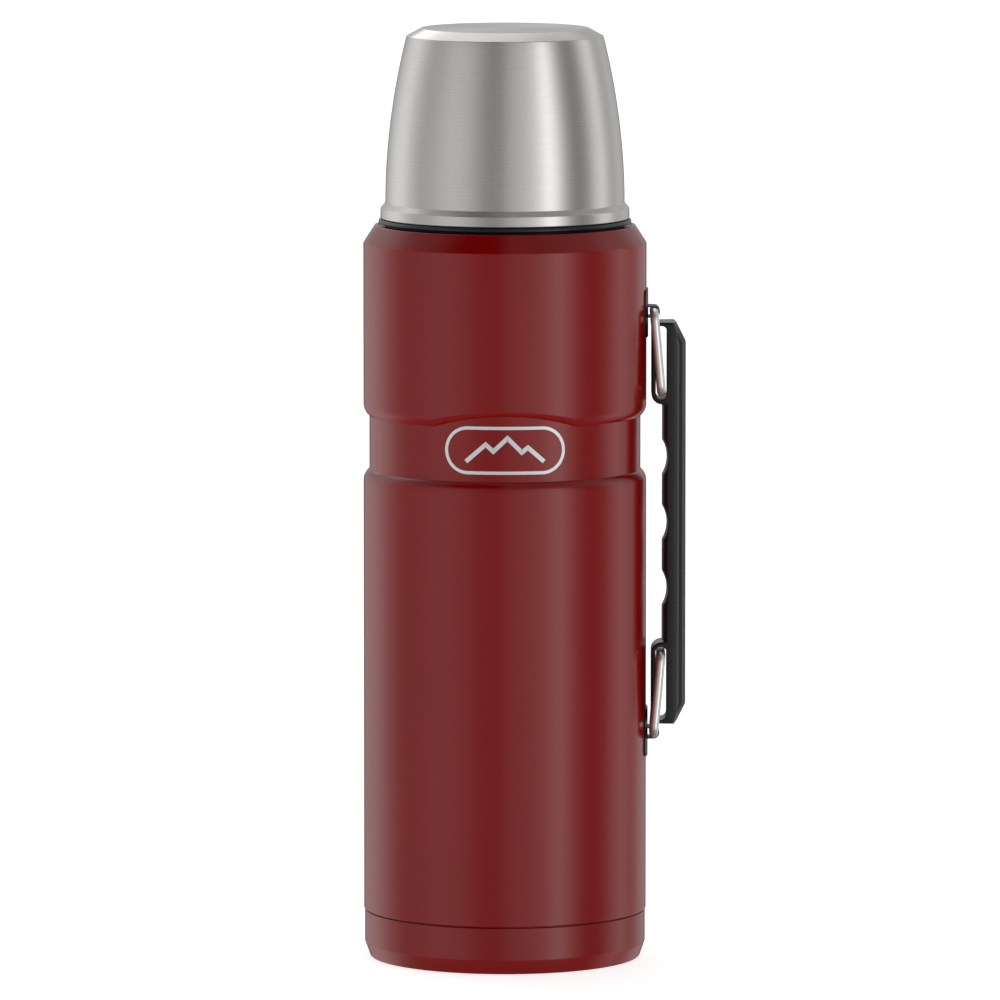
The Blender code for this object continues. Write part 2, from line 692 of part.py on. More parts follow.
clear_scene()
parts = new_collection("insulated_water_bottle")
cutters = new_collection("cutters", hidden=True)
outer_shell()
base_cap()
vacuum_closure()
inner_vessel()
radiation_shield()
cup_outer_shell()
cup_inner_liner()
cup_rim_ring()
stopper_body()
stopper_cap()
stopper_core()
stopper_base()
stopper_seals()
bracket("bottom_bracket", PIVOT_Z[0])
bracket("top_bracket", PIVOT_Z[1])
wire_ring("bottom_ring", PIVOT_Z[0], 1)
wire_ring("top_ring", PIVOT_Z[1], -1)
handle_grip()
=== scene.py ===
"""Looks of a two-litre vacuum bottle: painted steel body, brushed cup, black handle on wire rings.

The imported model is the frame. Each sub-assembly below is a class that works out its surfaces from
the frame's boxes and joints, in millimetres, and dresses them with its own finishes. +Z is up along
the bottle's axis, the handle is on the +X side, and the printed front faces -Y.
"""

import json
import logging
import math
from dataclasses import dataclass
from enum import Enum
from typing import Callable, Sequence

import bmesh
import bpy
import numpy as np
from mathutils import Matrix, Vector
from mathutils.geometry import tessellate_polygon


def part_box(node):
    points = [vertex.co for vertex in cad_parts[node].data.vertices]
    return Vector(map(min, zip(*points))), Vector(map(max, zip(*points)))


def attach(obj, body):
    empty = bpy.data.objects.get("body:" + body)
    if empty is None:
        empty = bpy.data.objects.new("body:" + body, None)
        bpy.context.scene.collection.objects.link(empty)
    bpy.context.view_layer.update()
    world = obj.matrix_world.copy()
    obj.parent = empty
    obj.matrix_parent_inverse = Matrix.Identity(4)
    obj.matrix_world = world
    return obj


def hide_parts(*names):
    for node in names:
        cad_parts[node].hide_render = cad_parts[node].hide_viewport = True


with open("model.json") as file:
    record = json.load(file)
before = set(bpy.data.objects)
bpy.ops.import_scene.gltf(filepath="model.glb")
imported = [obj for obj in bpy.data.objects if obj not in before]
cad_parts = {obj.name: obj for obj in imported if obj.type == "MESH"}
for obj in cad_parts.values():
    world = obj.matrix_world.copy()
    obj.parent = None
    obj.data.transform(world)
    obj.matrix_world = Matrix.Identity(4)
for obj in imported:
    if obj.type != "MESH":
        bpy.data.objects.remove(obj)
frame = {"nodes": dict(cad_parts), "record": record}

LOG = logging.getLogger("bottle")
MM = 0.001  # metres in a millimetre
TAU = 2.0 * math.pi
SHARP_DEG = 32.0  # edges that turn more than this are shaded sharp
ROUND_STEPS = 256  # steps round the axis of a plain turned piece
RING_SLOPE = 1.6  # how fast the rings' pattern runs out on a flat end, against up on a side
RING_STRETCH = 50.0  # how much longer than wide a brushed line is
ACROSS_LINES = 0.25  # of a turn, from the tangent to the way the highlight stretches
SQUARE = ((-1.0, -1.0), (1.0, -1.0), (1.0, 1.0), (-1.0, 1.0))  # corners, anticlockwise
Corner = tuple[float, float, float]  # across, up and fillet radius, all in millimetres
Socket = bpy.types.NodeSocket
Shaper = Callable[[np.ndarray, np.ndarray, np.ndarray], tuple[np.ndarray, np.ndarray]]


# ------------------------------------------------------------ frame and surfaces


def box_mm(node: str) -> tuple[np.ndarray, np.ndarray]:
    """Lowest and highest corner of a CAD node, in millimetres."""
    low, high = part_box(node)
    return np.array(low) / MM, np.array(high) / MM


def joint_mm(name: str) -> np.ndarray:
    """The point that a joint's axis goes through at rest, in millimetres."""
    joints = frame["record"]["behaviour"]["joints"]
    return next(np.array(j["pos_m"]) / MM for j in joints if j["name"] == name)


def filleted(corners: Sequence[Corner], closed: bool = False, steps: int = 6) -> np.ndarray:
    """Straight lines between corners, each corner turned by an arc of its own radius.

    An arc touches both sides at radius / tan(half the corner's angle) from the corner, and its centre
    lies on the bisector at radius / sin(half the angle). Two arcs on one side share its length by
    their radii, and 0.999 of it is used so that they never quite touch.

    Args:
        corners: (across, up, radius) of each corner. A radius of 0 keeps it sharp.
        closed: Whether the last corner joins the first.
        steps: Segments of each arc.

    Returns:
        The (across, up) points of the line.
    """
    spots = np.array([c[:2] for c in corners], dtype=float)
    pieces: list[np.ndarray] = []
    for i, (_, _, radius) in enumerate(corners):
        spot = spots[i]
        if radius <= 0.0 or (not closed and i in (0, len(corners) - 1)):
            pieces.append(spot[None, :])
            continue
        back, ahead = spots[i - 1] - spot, spots[(i + 1) % len(corners)] - spot
        before, after = corners[i - 1][2], corners[(i + 1) % len(corners)][2]
        shares = np.linalg.norm(back) / (radius + before), np.linalg.norm(ahead) / (radius + after)
        room = 0.999 * radius * min(shares)
        back, ahead = back / np.linalg.norm(back), ahead / np.linalg.norm(ahead)
        half = 0.5 * math.acos(float(np.clip(back @ ahead, -1.0, 1.0)))
        reach = min(radius / math.tan(half), room)
        radius = reach * math.tan(half)
        bisector = (back + ahead) / np.linalg.norm(back + ahead)
        centre = spot + bisector * radius / math.sin(half)
        first, last = spot + back * reach - centre, spot + ahead * reach - centre
        start = math.atan2(first[1], first[0])
        sweep = (math.atan2(last[1], last[0]) - start + math.pi) % TAU - math.pi
        angles = start + sweep * np.linspace(0.0, 1.0, steps + 1)
        pieces.append(centre + radius * np.stack([np.cos(angles), np.sin(angles)], axis=1))
    return np.concatenate(pieces)


def split_lines(path: np.ndarray, counts: np.ndarray) -> np.ndarray:
    """A line of points with each of its segments cut into equal parts.

    Args:
        path: The points, one a row, in any number of dimensions.
        counts: Parts for each segment.

    Returns:
        The points with the new ones between them: start + (end - start) * share.
    """
    owner = np.repeat(np.arange(len(counts)), counts)
    first = np.concatenate([[0], np.cumsum(counts)[:-1]])
    share = (np.arange(counts.sum()) - first[owner]) / counts[owner]
    inner = path[owner] + (path[owner + 1] - path[owner]) * share[:, None]
    return np.vstack([inner, path[-1:]])


def parts_of(path: np.ndarray, step: float) -> np.ndarray:
    """How many parts each segment needs so that none is longer than step."""
    lengths = np.linalg.norm(np.diff(path[:, :2], axis=0), axis=1)
    return np.maximum(1, np.ceil(lengths / step)).astype(int)


def grid_faces(rows: int, columns: int, wrap_rows: bool, wrap_columns: bool) -> np.ndarray:
    """Quads between the neighbouring points of a grid.

    Args:
        rows: Points one way.
        columns: Points the other way.
        wrap_rows: Whether the last row joins the first.
        wrap_columns: Whether the last column joins the first.

    Returns:
        Four point numbers a quad.
    """
    index = np.arange(rows * columns).reshape(rows, columns)
    if wrap_rows:
        index = np.vstack([index, index[:1]])
    if wrap_columns:
        index = np.hstack([index, index[:, :1]])
    quads = [index[:-1, :-1], index[:-1, 1:], index[1:, 1:], index[1:, :-1]]
    return np.stack(quads, axis=-1).reshape(-1, 4)


def round_axis(radius: np.ndarray, angle: np.ndarray, height: np.ndarray) -> np.ndarray:
    """The points (r cos a, r sin a, z), with x, y and z along the last axis."""
    return np.stack([radius * np.cos(angle), radius * np.sin(angle), height], axis=-1)


def solid_mesh(
    name: str, points: np.ndarray, faces: list, sharp_deg: float = SHARP_DEG
) -> bpy.types.Mesh:
    """A closed mesh with its doubles merged, its faces turned out and its edges marked.

    Args:
        name: The mesh's name.
        points: Its points in millimetres, in any grid whose last axis is x, y, z.
        faces: Its faces as lists of point numbers.
        sharp_deg: Edges that turn more than this are shaded sharp.

    Returns:
        The mesh, in metres.
    """
    mesh = bpy.data.meshes.new(name)
    mesh.from_pydata((points.reshape(-1, 3) * MM).tolist(), [], faces)
    form = bmesh.new()
    form.from_mesh(mesh)
    bmesh.ops.remove_doubles(form, verts=form.verts, dist=1e-7)
    bmesh.ops.dissolve_degenerate(form, dist=1e-8, edges=form.edges)
    bmesh.ops.recalc_face_normals(form, faces=form.faces)
    form.to_mesh(mesh)
    form.free()
    mesh.shade_smooth()
    mesh.set_sharp_from_angle(angle=math.radians(sharp_deg))
    return mesh


def turned(
    name: str, profile: np.ndarray, segments: int, closed: bool, shaper: Shaper | None = None
) -> bpy.types.Mesh:
    """A surface of revolution about Z: (r cos a, r sin a, z) for each profile point and angle.

    Args:
        name: The mesh's name.
        profile: (radius, height) points. An open profile starts and ends on the axis.
        segments: Steps round the axis.
        closed: Whether the profile's end joins its start.
        shaper: Moves the surface, given radius, height and angle as whole grids.

    Returns:
        The closed mesh.
    """
    angle = np.arange(segments)[None, :] * TAU / segments
    radius, height = (np.repeat(profile[:, i : i + 1], segments, axis=1) for i in (0, 1))
    if shaper:
        radius, height = shaper(radius, height, angle)
    points = round_axis(radius, angle, height)
    return solid_mesh(name, points, grid_faces(len(profile), segments, closed, True).tolist())


def swept(
    name: str,
    centre: np.ndarray,
    side: np.ndarray,
    up: np.ndarray,
    section: np.ndarray,
    closed: bool,
) -> bpy.types.Mesh:
    """A section carried along a path: centre + side * section x + up * section y at each point.

    Args:
        name: The mesh's name.
        centre: Path points, one a row.
        side: Direction of the section's first axis at each point.
        up: Direction of the section's second axis at each point.
        section: The section's closed outline.
        closed: Whether the path's end joins its start. An open one is capped.

    Returns:
        The closed mesh.
    """
    across = side[:, None, :] * section[None, :, :1]
    points = centre[:, None, :] + across + up[:, None, :] * section[None, :, 1:]
    faces = grid_faces(len(centre), len(section), closed, True).tolist()
    if not closed:
        count, last = len(section), (len(centre) - 1) * len(section)
        faces += [list(range(count)), list(range(last, last + count))]
    return solid_mesh(name, points, faces)


def joined(name: str, meshes: Sequence[bpy.types.Mesh]) -> bpy.types.Mesh:
    """The boolean union of closed meshes, as one closed mesh.

    Args:
        name: The new mesh's name.
        meshes: The meshes, which are used up.

    Returns:
        The union.
    """
    objects = [bpy.data.objects.new(name, mesh) for mesh in meshes]
    for obj in objects:
        bpy.context.scene.collection.objects.link(obj)
    for other in objects[1:]:
        union = objects[0].modifiers.new("union", "BOOLEAN")
        union.operation = "UNION"
        union.object = other
    bpy.context.view_layer.update()
    graph = bpy.context.evaluated_depsgraph_get()
    result = bpy.data.meshes.new_from_object(objects[0].evaluated_get(graph))
    for obj in objects:
        bpy.data.objects.remove(obj, do_unlink=True)
    result.shade_smooth()
    result.set_sharp_from_angle(angle=math.radians(SHARP_DEG))
    return result


# ------------------------------------------------------------ finishes


def linear(colour: str) -> tuple[float, float, float, float]:
    """An sRGB colour made linear: c / 12.92 in the dark, ((c + 0.055) / 1.055) ^ 2.4 above.

    Args:
        colour: The colour in hex, such as #7a0a0c.

    Returns:
        Linear red, green, blue and an alpha of 1.
    """
    channels = [int(colour[i : i + 2], 16) / 255.0 for i in (1, 3, 5)]
    straight = [c / 12.92 if c <= 0.04045 else ((c + 0.055) / 1.055) ** 2.4 for c in channels]
    return (straight[0], straight[1], straight[2], 1.0)


def per_metre(size_mm: float) -> float:
    """The scale that repeats a pattern every size_mm on coordinates in metres."""
    return 1.0 / (size_mm * MM)


def add_node(tree: bpy.types.NodeTree, kind: str, inputs: dict, **settings: object) -> bpy.types.Node:
    """Add a shader node with its settings, its input values and its links.

    Args:
        tree: The tree that takes the node.
        kind: The node's type, without its ShaderNode prefix.
        inputs: Input name or number to a value, or to the output socket to link.
        settings: The node's own properties.

    Returns:
        The node.
    """
    node = tree.nodes.new("ShaderNode" + kind)
    for key, value in settings.items():
        setattr(node, key, value)
    for key, value in inputs.items():
        if isinstance(value, bpy.types.NodeSocket):
            tree.links.new(value, node.inputs[key])
        else:
            node.inputs[key].default_value = value
    return node


class Lay(Enum):
    """Which way a fine pattern's lines run on a piece."""

    ROUND = "rings round the bottle's axis"
    EVEN = "no lines"


@dataclass(frozen=True)
class Finish:
    """What a surface is made of: its colour, gloss and the fine relief that its making leaves."""

    name: str
    colour: str
    second: str  # the colour that the mottling drifts towards
    roughness: float
    rough_swing: float
    grain_mm: float
    relief_mm: float
    metallic: float = 0.0
    ior: float = 1.5
    anisotropy: float = 0.0  # the highlight is stretched across the lines that go round the axis
    lay: Lay = Lay.EVEN
    blotch_mm: float = 60.0

    def material(self) -> bpy.types.Material:
        """The node material, made once for each finish.

        Returns:
            A Principled material whose colour, roughness and bump come from two layers of noise.
        """
        made = bpy.data.materials.get(self.name)
        if made:
            return made
        made = bpy.data.materials.new(self.name)
        made.use_nodes = True
        tree = made.node_tree
        shader = tree.nodes["Principled BSDF"]
        shader.inputs["Metallic"].default_value = self.metallic
        shader.inputs["IOR"].default_value = self.ior
        shader.inputs["Anisotropic"].default_value = self.anisotropy
        shader.inputs["Anisotropic Rotation"].default_value = ACROSS_LINES if self.anisotropy else 0.0
        spot = add_node(tree, "TexCoord", {}).outputs["Object"]
        layers = []
        for vector, scale, detail, rough in (
            (self.laid(tree, spot), per_metre(self.grain_mm), 3.0, 0.6),
            (spot, per_metre(self.blotch_mm), 2.0, 0.5),
        ):
            noise = {"Vector": vector, "Scale": scale, "Detail": detail, "Roughness": rough}
            layers.append(add_node(tree, "TexNoise", noise).outputs["Fac"])
        fine, wide = layers
        self.tint(tree, shader, fine, wide)
        limits = {
            "Value": fine,
            "From Min": 0.25,
            "From Max": 0.75,
            "To Min": self.roughness - self.rough_swing,
            "To Max": self.roughness + self.rough_swing,
        }
        gloss = add_node(tree, "MapRange", limits).outputs["Result"]
        tree.links.new(gloss, shader.inputs["Roughness"])
        relief = {"Height": fine, "Distance": self.relief_mm * MM, "Strength": 1.0}
        bump = add_node(tree, "Bump", relief)
        tree.links.new(bump.outputs["Normal"], shader.inputs["Normal"])
        if self.anisotropy:
            tangent = add_node(tree, "Tangent", {}, direction_type="RADIAL", axis="Z")
            tree.links.new(tangent.outputs["Tangent"], shader.inputs["Tangent"])
        return made

    def laid(self, tree: bpy.types.NodeTree, spot: Socket) -> Socket:
        """Coordinates that the fine pattern is drawn on.

        For rings, X and Y are stretched fifty times and Z becomes z + 1.6 r, with r the distance from
        the axis, so that the lines go round a side and round a flat end alike.

        Args:
            tree: The material's node tree.
            spot: The piece's own coordinates.

        Returns:
            The coordinates as a vector.
        """
        if self.lay is Lay.EVEN:
            return spot
        axes = add_node(tree, "SeparateXYZ", {0: spot}).outputs
        flat = add_node(tree, "CombineXYZ", {"X": axes["X"], "Y": axes["Y"]}).outputs["Vector"]
        radius = add_node(tree, "VectorMath", {0: flat}, operation="LENGTH").outputs["Value"]
        climb = {0: radius, 1: RING_SLOPE, 2: axes["Z"]}
        line = add_node(tree, "Math", climb, operation="MULTIPLY_ADD").outputs[0]
        shorter = {0: flat, "Scale": 1.0 / RING_STRETCH}
        long = add_node(tree, "VectorMath", shorter, operation="SCALE").outputs[0]
        up = add_node(tree, "CombineXYZ", {"Z": line}).outputs["Vector"]
        return add_node(tree, "VectorMath", {0: long, 1: up}, operation="ADD").outputs[0]

    def tint(
        self, tree: bpy.types.NodeTree, shader: bpy.types.Node, fine: Socket, wide: Socket
    ) -> None:
        """Mix the two colours by the sum of both layers of noise, and link them to the shader.

        Args:
            tree: The material's node tree.
            shader: Its Principled node.
            fine: The fine layer.
            wide: The wide layer.
        """
        both = add_node(tree, "Math", {0: fine, 1: wide}, operation="ADD").outputs["Value"]
        spread = {"Value": both, "From Min": 0.7, "From Max": 1.3}
        share = add_node(tree, "MapRange", spread).outputs["Result"]
        colours = {0: share, 6: linear(self.colour), 7: linear(self.second)}
        mix = add_node(tree, "Mix", colours, data_type="RGBA")
        tree.links.new(mix.outputs[2], shader.inputs["Base Color"])


# Baked satin powder coat over steel: an even red with a soft sheen and a faint orange peel, 0.9 mm.
RED_PAINT = Finish("red_powder_coat", "#7c0203", "#780203", 0.20, 0.015, 0.9, 0.0012)
# Stainless steel turned against an abrasive belt: grey, with fine rings and a highlight stretched
# across them. Its metallic of 0.87 lets a little plain grey through, as a dull film in the scratches
# does. Real scratches are about 0.05 mm apart and are drawn 0.25 mm apart so that they show.
BRUSHED_STEEL = Finish(
    "brushed_stainless",
    "#cfcecb",
    "#c9c8c5",
    0.28,
    0.015,
    0.25,
    0.0003,
    metallic=0.87,
    anisotropy=0.6,
    lay=Lay.ROUND,
)
# Drawn and polished stainless wire: bright, with faint drawing lines that spread the highlight.
BRIGHT_WIRE = Finish("polished_wire", "#f4f3f0", "#eeedea", 0.30, 0.02, 0.4, 0.0008, metallic=0.9)
# Injection-moulded polypropylene with a fine spark-eroded grain, 0.3 mm, that makes it satin.
BLACK_PLASTIC = Finish(
    "moulded_polypropylene", "#222223", "#1c1c1d", 0.27, 0.03, 0.3, 0.0015, ior=1.49
)
# Softer, smoother moulding of the cup's rim ring: black with a low even gloss.
BLACK_RING = Finish("smooth_black_elastomer", "#161617", "#121213", 0.30, 0.03, 0.5, 0.002)
# Stoved black enamel on pressed steel: deep black and nearly matt.
BLACK_ENAMEL = Finish("black_enamel", "#0c0c0d", "#0a0a0b", 0.50, 0.03, 0.7, 0.002, ior=1.3)
# Silver pad-printing ink: fine aluminium flake in a clear binder, pale grey with a slight glint.
SILVER_INK = Finish("silver_print", "#dfe3e4", "#cfd4d6", 0.34, 0.04, 0.15, 0.002, metallic=0.35)
# Electropolished steel of the liner and the welded plates inside: smooth, bright and slightly wavy.
LINER_STEEL = Finish(
    "electropolished_steel", "#cfcfcd", "#c2c2c0", 0.18, 0.03, 0.8, 0.001, metallic=1.0
)
# Thin rolled copper foil, slightly crinkled, which breaks its orange gloss up.
COPPER_FOIL = Finish("rolled_copper_foil", "#c8794f", "#b66a43", 0.24, 0.05, 3.0, 0.02, metallic=1.0)
# Sintered getter alloy: dull, porous and grey.
GETTER_ALLOY = Finish("sintered_getter", "#77777a", "#67676a", 0.62, 0.06, 0.4, 0.02, metallic=1.0)
# Rigid insulating foam: pale, open-pored and matt.
FOAM = Finish("rigid_foam", "#e6dfc8", "#d8d0b6", 0.85, 0.05, 0.8, 0.08, ior=1.4)
# Food-grade silicone seal: grey rubber with a dry sheen.
SILICONE = Finish("silicone_rubber", "#b9bcbc", "#adb0b0", 0.48, 0.05, 0.6, 0.004, ior=1.43)


def show(
    name: str, mesh: bpy.types.Mesh, finish: Finish, body: str, slot: str, *nodes: str
) -> None:
    """Put a finished piece in the scene, on its body and in place of its CAD nodes.

    Args:
        name: The piece's name.
        mesh: Its mesh, in the frame's metres.
        finish: Its finish.
        body: The body it rides on.
        slot: The record's material slot; not used.
        nodes: The CAD nodes that it stands for.
    """
    mesh.name = name
    mesh.materials.clear()
    mesh.materials.append(finish.material())
    obj = bpy.data.objects.new(name, mesh)
    bpy.context.scene.collection.objects.link(obj)
    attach(obj, body)
    if nodes:
        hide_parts(*nodes)
    LOG.info("%s: %d faces on %s", name, len(mesh.polygons), body)


# ------------------------------------------------------------ steel body


@dataclass
class PaintedBody:
    """The painted outer shell, its base cap and the print on its waist."""

    radius: float = 56.0
    wall: float = 0.6
    waist_radius: float = 53.68
    waist: tuple[float, float] = (194.5, 215.8)  # heights of the waist's two sharp inner corners
    step: float = 4.6  # height of each rounded step beside the waist
    seam: float = 19.0  # height of the seam over the base cap
    shoulder: float = 284.2
    ledge: float = 290.6
    collar_radius: float = 41.5
    mouth: tuple[float, float] = (27.6, 28.2)  # inner and outer radius
    mouth_height: float = 315.6
    segments: int = 400
    arch_half_steps: int = 34  # the arch ends this many segments from the front's middle
    arch_rise: float = 4.7
    thread_lead: float = 5.0
    thread_start: tuple[float, float] = (294.2, 4.0)  # height, and degrees round from +X
    thread_turns: float = 1.25
    thread_height: float = 1.1
    thread_half_widths: tuple[float, float] = (0.9, 0.45)  # at the root and at the crest
    thread_fade: float = 12.0  # it fades in and out over a turn divided by this
    cap_radius: float = 55.67
    cap_wall: float = 0.7
    print_height: float = 206.95
    print_half: tuple[float, float] = (23.6, 8.8)  # half the frame's width and height
    peaks: tuple[tuple[float, float], ...] = (
        (-15.5, -4.4), (-7.6, 2.4), (-4.6, -0.3), (1.0, 4.9), (6.6, -0.7), (9.0, 1.2), (15.5, -4.4),
    )
    line_widths: tuple[float, float] = (1.25, 1.7)  # of the frame and of the peaks
    ink: float = 0.04  # how far the print stands out, and how far it is sunk in

    def __post_init__(self) -> None:
        """Take the driving sizes from the frame."""
        self.radius = float(box_mm("outer_shell")[1][0])
        self.cap_radius = float(box_mm("base_cap")[1][0])

    def build(self) -> None:
        """Make every piece of the painted body."""
        show("painted_shell", self.shell(), RED_PAINT, "bottle", "painted_steel", "outer_shell")
        show("painted_base_cap", self.base_cap(), RED_PAINT, "bottle", "painted_steel", "base_cap")
        for name, mesh in self.print_meshes():
            show(name, mesh, SILVER_INK, "bottle", "painted_steel")

    def step_arc(self, corner: float, away: int) -> np.ndarray:
        """Rounded step from the full radius to the waist's sharp corner.

        It is an arc that starts upright on the body. With drop d and height h it sweeps
        2 atan(d / h), and its radius is h / sin(sweep).

        Args:
            corner: Height of the waist's corner.
            away: 1 for the step above the waist and -1 for the one below.

        Returns:
            (radius, height) points from the body's side to the corner.
        """
        drop = self.radius - self.waist_radius
        sweep = 2.0 * math.atan2(drop, self.step)
        radius = self.step / math.sin(sweep)
        angles = np.linspace(0.0, sweep, 15)
        across = self.radius - radius * (1.0 - np.cos(angles))
        up = corner + away * (self.step - radius * np.sin(angles))
        return np.stack([across, up], axis=1)

    def shell(self) -> bpy.types.Mesh:
        """The outer shell from mouth to skirt, with its inner side a wall's thickness in.

        Returns:
            The closed mesh.
        """
        wall, full, waist = self.wall, self.radius, self.waist_radius
        collar, top = self.collar_radius, self.mouth_height
        top_in, top_out = self.mouth
        guard = 2.0  # a row this far from a curve's end keeps its shading off the straight side
        head = filleted(
            [
                (top_out, top, 0.0),
                (top_out, 308.4, 2.5),
                (39.0, 304.4, 2.0),
                (collar, 303.0, 1.0),
                (collar, self.ledge, 0.5),
                (50.0, self.ledge, 0.4),
                (50.35, self.ledge + 0.75, 0.3),
                (51.45, self.ledge + 0.65, 0.55),
                (full, self.shoulder, 0.9),
                (full, self.waist[1] + self.step, 0.0),
            ]
        )
        foot = filleted(
            [
                (full, self.waist[0] - self.step, 0.0),
                (full, self.waist[0] - self.step - guard, 0.0),
                (full, self.seam + 0.45 + guard, 0.0),
                (full, self.seam + 0.1, 0.45),
                (full - 0.9, self.seam - 0.1, 0.2),
                (54.6, self.seam - 0.1, 0.0),
                (54.6, 6.4, 0.0),
                (54.0, 6.4, 0.0),
                (54.0, self.seam + wall, 0.0),
                (full - wall, self.seam + 1.2, 0.0),
                (full - wall, self.waist[0] - self.step, 0.0),
                (waist - wall, self.waist[0] - 0.3, 0.0),
                (waist - wall, self.waist[1] + 0.3, 0.0),
                (full - wall, self.waist[1] + self.step + 0.4, 0.0),
                (full - wall, self.shoulder - 0.3, 0.0),
                (51.1, self.ledge - wall, 0.0),
                (collar - wall, self.ledge - wall, 0.0),
                (collar - wall, 302.6, 0.0),
                (38.6, 303.8, 0.0),
                (top_in, 308.0, 0.0),
                (top_in, top, 0.0),
            ]
        )
        upper, lower = self.step_arc(self.waist[1], 1), self.step_arc(self.waist[0], -1)
        profile = np.vstack([head, upper[1:], lower[::-1], foot[1:]])
        starts, ends = profile[:-1, 1], profile[1:, 1]
        near_waist = np.maximum(starts, ends) < self.waist[1] + 24.0
        near_waist &= np.minimum(starts, ends) > self.waist[0] - 9.0
        on_collar = (np.abs(profile[:-1, 0] - collar) < 0.01) & (starts > self.ledge + 1.0)
        plain, shaped, threaded = (parts_of(profile, step) for step in (30.0, 2.0, 0.22))
        counts = np.where(on_collar, threaded, np.where(near_waist, shaped, plain))
        line = split_lines(profile, counts)
        return turned("painted_shell", line, self.segments, True, self.shape_shell)

    def shape_shell(
        self, radius: np.ndarray, height: np.ndarray, angle: np.ndarray
    ) -> tuple[np.ndarray, np.ndarray]:
        """Raise the waist's upper step into an arch at the front, and raise the collar's thread.

        The arch is an arc of one circle across the front: its chord and its rise set the radius. All
        of it goes to the waist's corner, less to the heights above, and nothing 22 mm over the step.

        Args:
            radius: Radius of each point.
            height: Height of each point.
            angle: Angle of each column, in radians from +X.

        Returns:
            The new radius and height.
        """
        turn = np.abs((angle + math.pi / 2.0 + math.pi) % TAU - math.pi)
        half = self.arch_half_steps * TAU / self.segments
        chord = self.radius * math.sin(half)
        arc = (chord**2 + self.arch_rise**2) / (2.0 * self.arch_rise)
        across = self.radius * np.sin(np.minimum(turn, half))
        rise = np.sqrt(arc**2 - across**2) - (arc - self.arch_rise)
        rise = np.where(turn <= half + 1e-6, rise, 0.0)
        corner, high = self.waist[1], self.waist[1] + self.step
        levels = [corner - 12.0, corner - 0.4, high, high + 22.0]
        share = np.interp(height, levels, [0.0, 1.0, 0.45, 0.0])
        on_side = radius > self.waist_radius - self.wall - 1.0
        raised = height + np.where(on_side, share * rise, 0.0)
        return radius + self.thread(radius, height, angle), raised

    def thread(self, radius: np.ndarray, height: np.ndarray, angle: np.ndarray) -> np.ndarray:
        """Height of the helical ridge that carries the cup.

        The ridge's middle climbs one lead a turn, and its side slopes from full height at the crest's
        half width to nothing at the root's half width. It fades in and out over a twelfth of a turn.

        Args:
            radius: Radius of each point.
            height: Height of each point.
            angle: Angle of each column.

        Returns:
            What the ridge adds to the radius.
        """
        base, start = self.thread_start
        root, crest = self.thread_half_widths
        added = np.zeros_like(height)
        for lap in range(2):
            turns = (angle / TAU - start / 360.0) % 1.0 + lap
            off = np.abs(height - base - self.thread_lead * turns)
            to_end = np.minimum(turns, self.thread_turns - turns)
            ends = np.clip(to_end * self.thread_fade, 0.0, 1.0)
            slope = np.clip((root - off) / (root - crest), 0.0, 1.0)
            added = np.maximum(added, self.thread_height * ends * slope)
        on_collar = (np.abs(radius - self.collar_radius) < 0.02) & (height > self.ledge + 1.0)
        return np.where(on_collar, added, 0.0)

    def base_cap(self) -> bpy.types.Mesh:
        """The cap pressed over the shell's foot, with a chamfered edge and one groove underneath.

        Returns:
            The closed mesh.
        """
        wall, full = self.cap_wall, self.cap_radius
        top = self.seam - 0.45
        outside = filleted(
            [
                (full - wall, top, 0.0),
                (full - 0.2, top, 0.2),
                (full, top - 0.3, 0.3),
                (full, 5.9, 2.2),
                (53.6, 0.3, 0.3),
                (53.3, 0.0, 0.2),
                (39.6, 0.0, 0.5),
                (38.9, 0.6, 0.4),
                (36.6, 0.6, 0.4),
                (35.9, 0.0, 0.5),
                (0.0, 0.0, 0.0),
            ]
        )
        groove = [(35.6, wall), (36.4, 1.3), (39.1, 1.3), (39.9, wall)]
        inside = np.array([(0.0, wall), *groove, (52.8, wall), (full - wall, 6.1)])
        return turned("painted_base_cap", np.vstack([inside, outside]), ROUND_STEPS, False)

    def print_meshes(self) -> list[tuple[str, bpy.types.Mesh]]:
        """The printed emblem: a long rounded frame round a plain range of three peaks.

        Returns:
            Name and mesh of each printed line.
        """
        wide, tall = self.print_half
        rim = filleted([(x * wide, y * tall, tall) for x, y in SQUARE], True, 16)
        frame_width, peak_width = self.line_widths
        return [
            ("printed_frame", self.printed_line(rim, frame_width, True)),
            ("printed_peaks", self.printed_line(np.array(self.peaks), peak_width, False)),
        ]

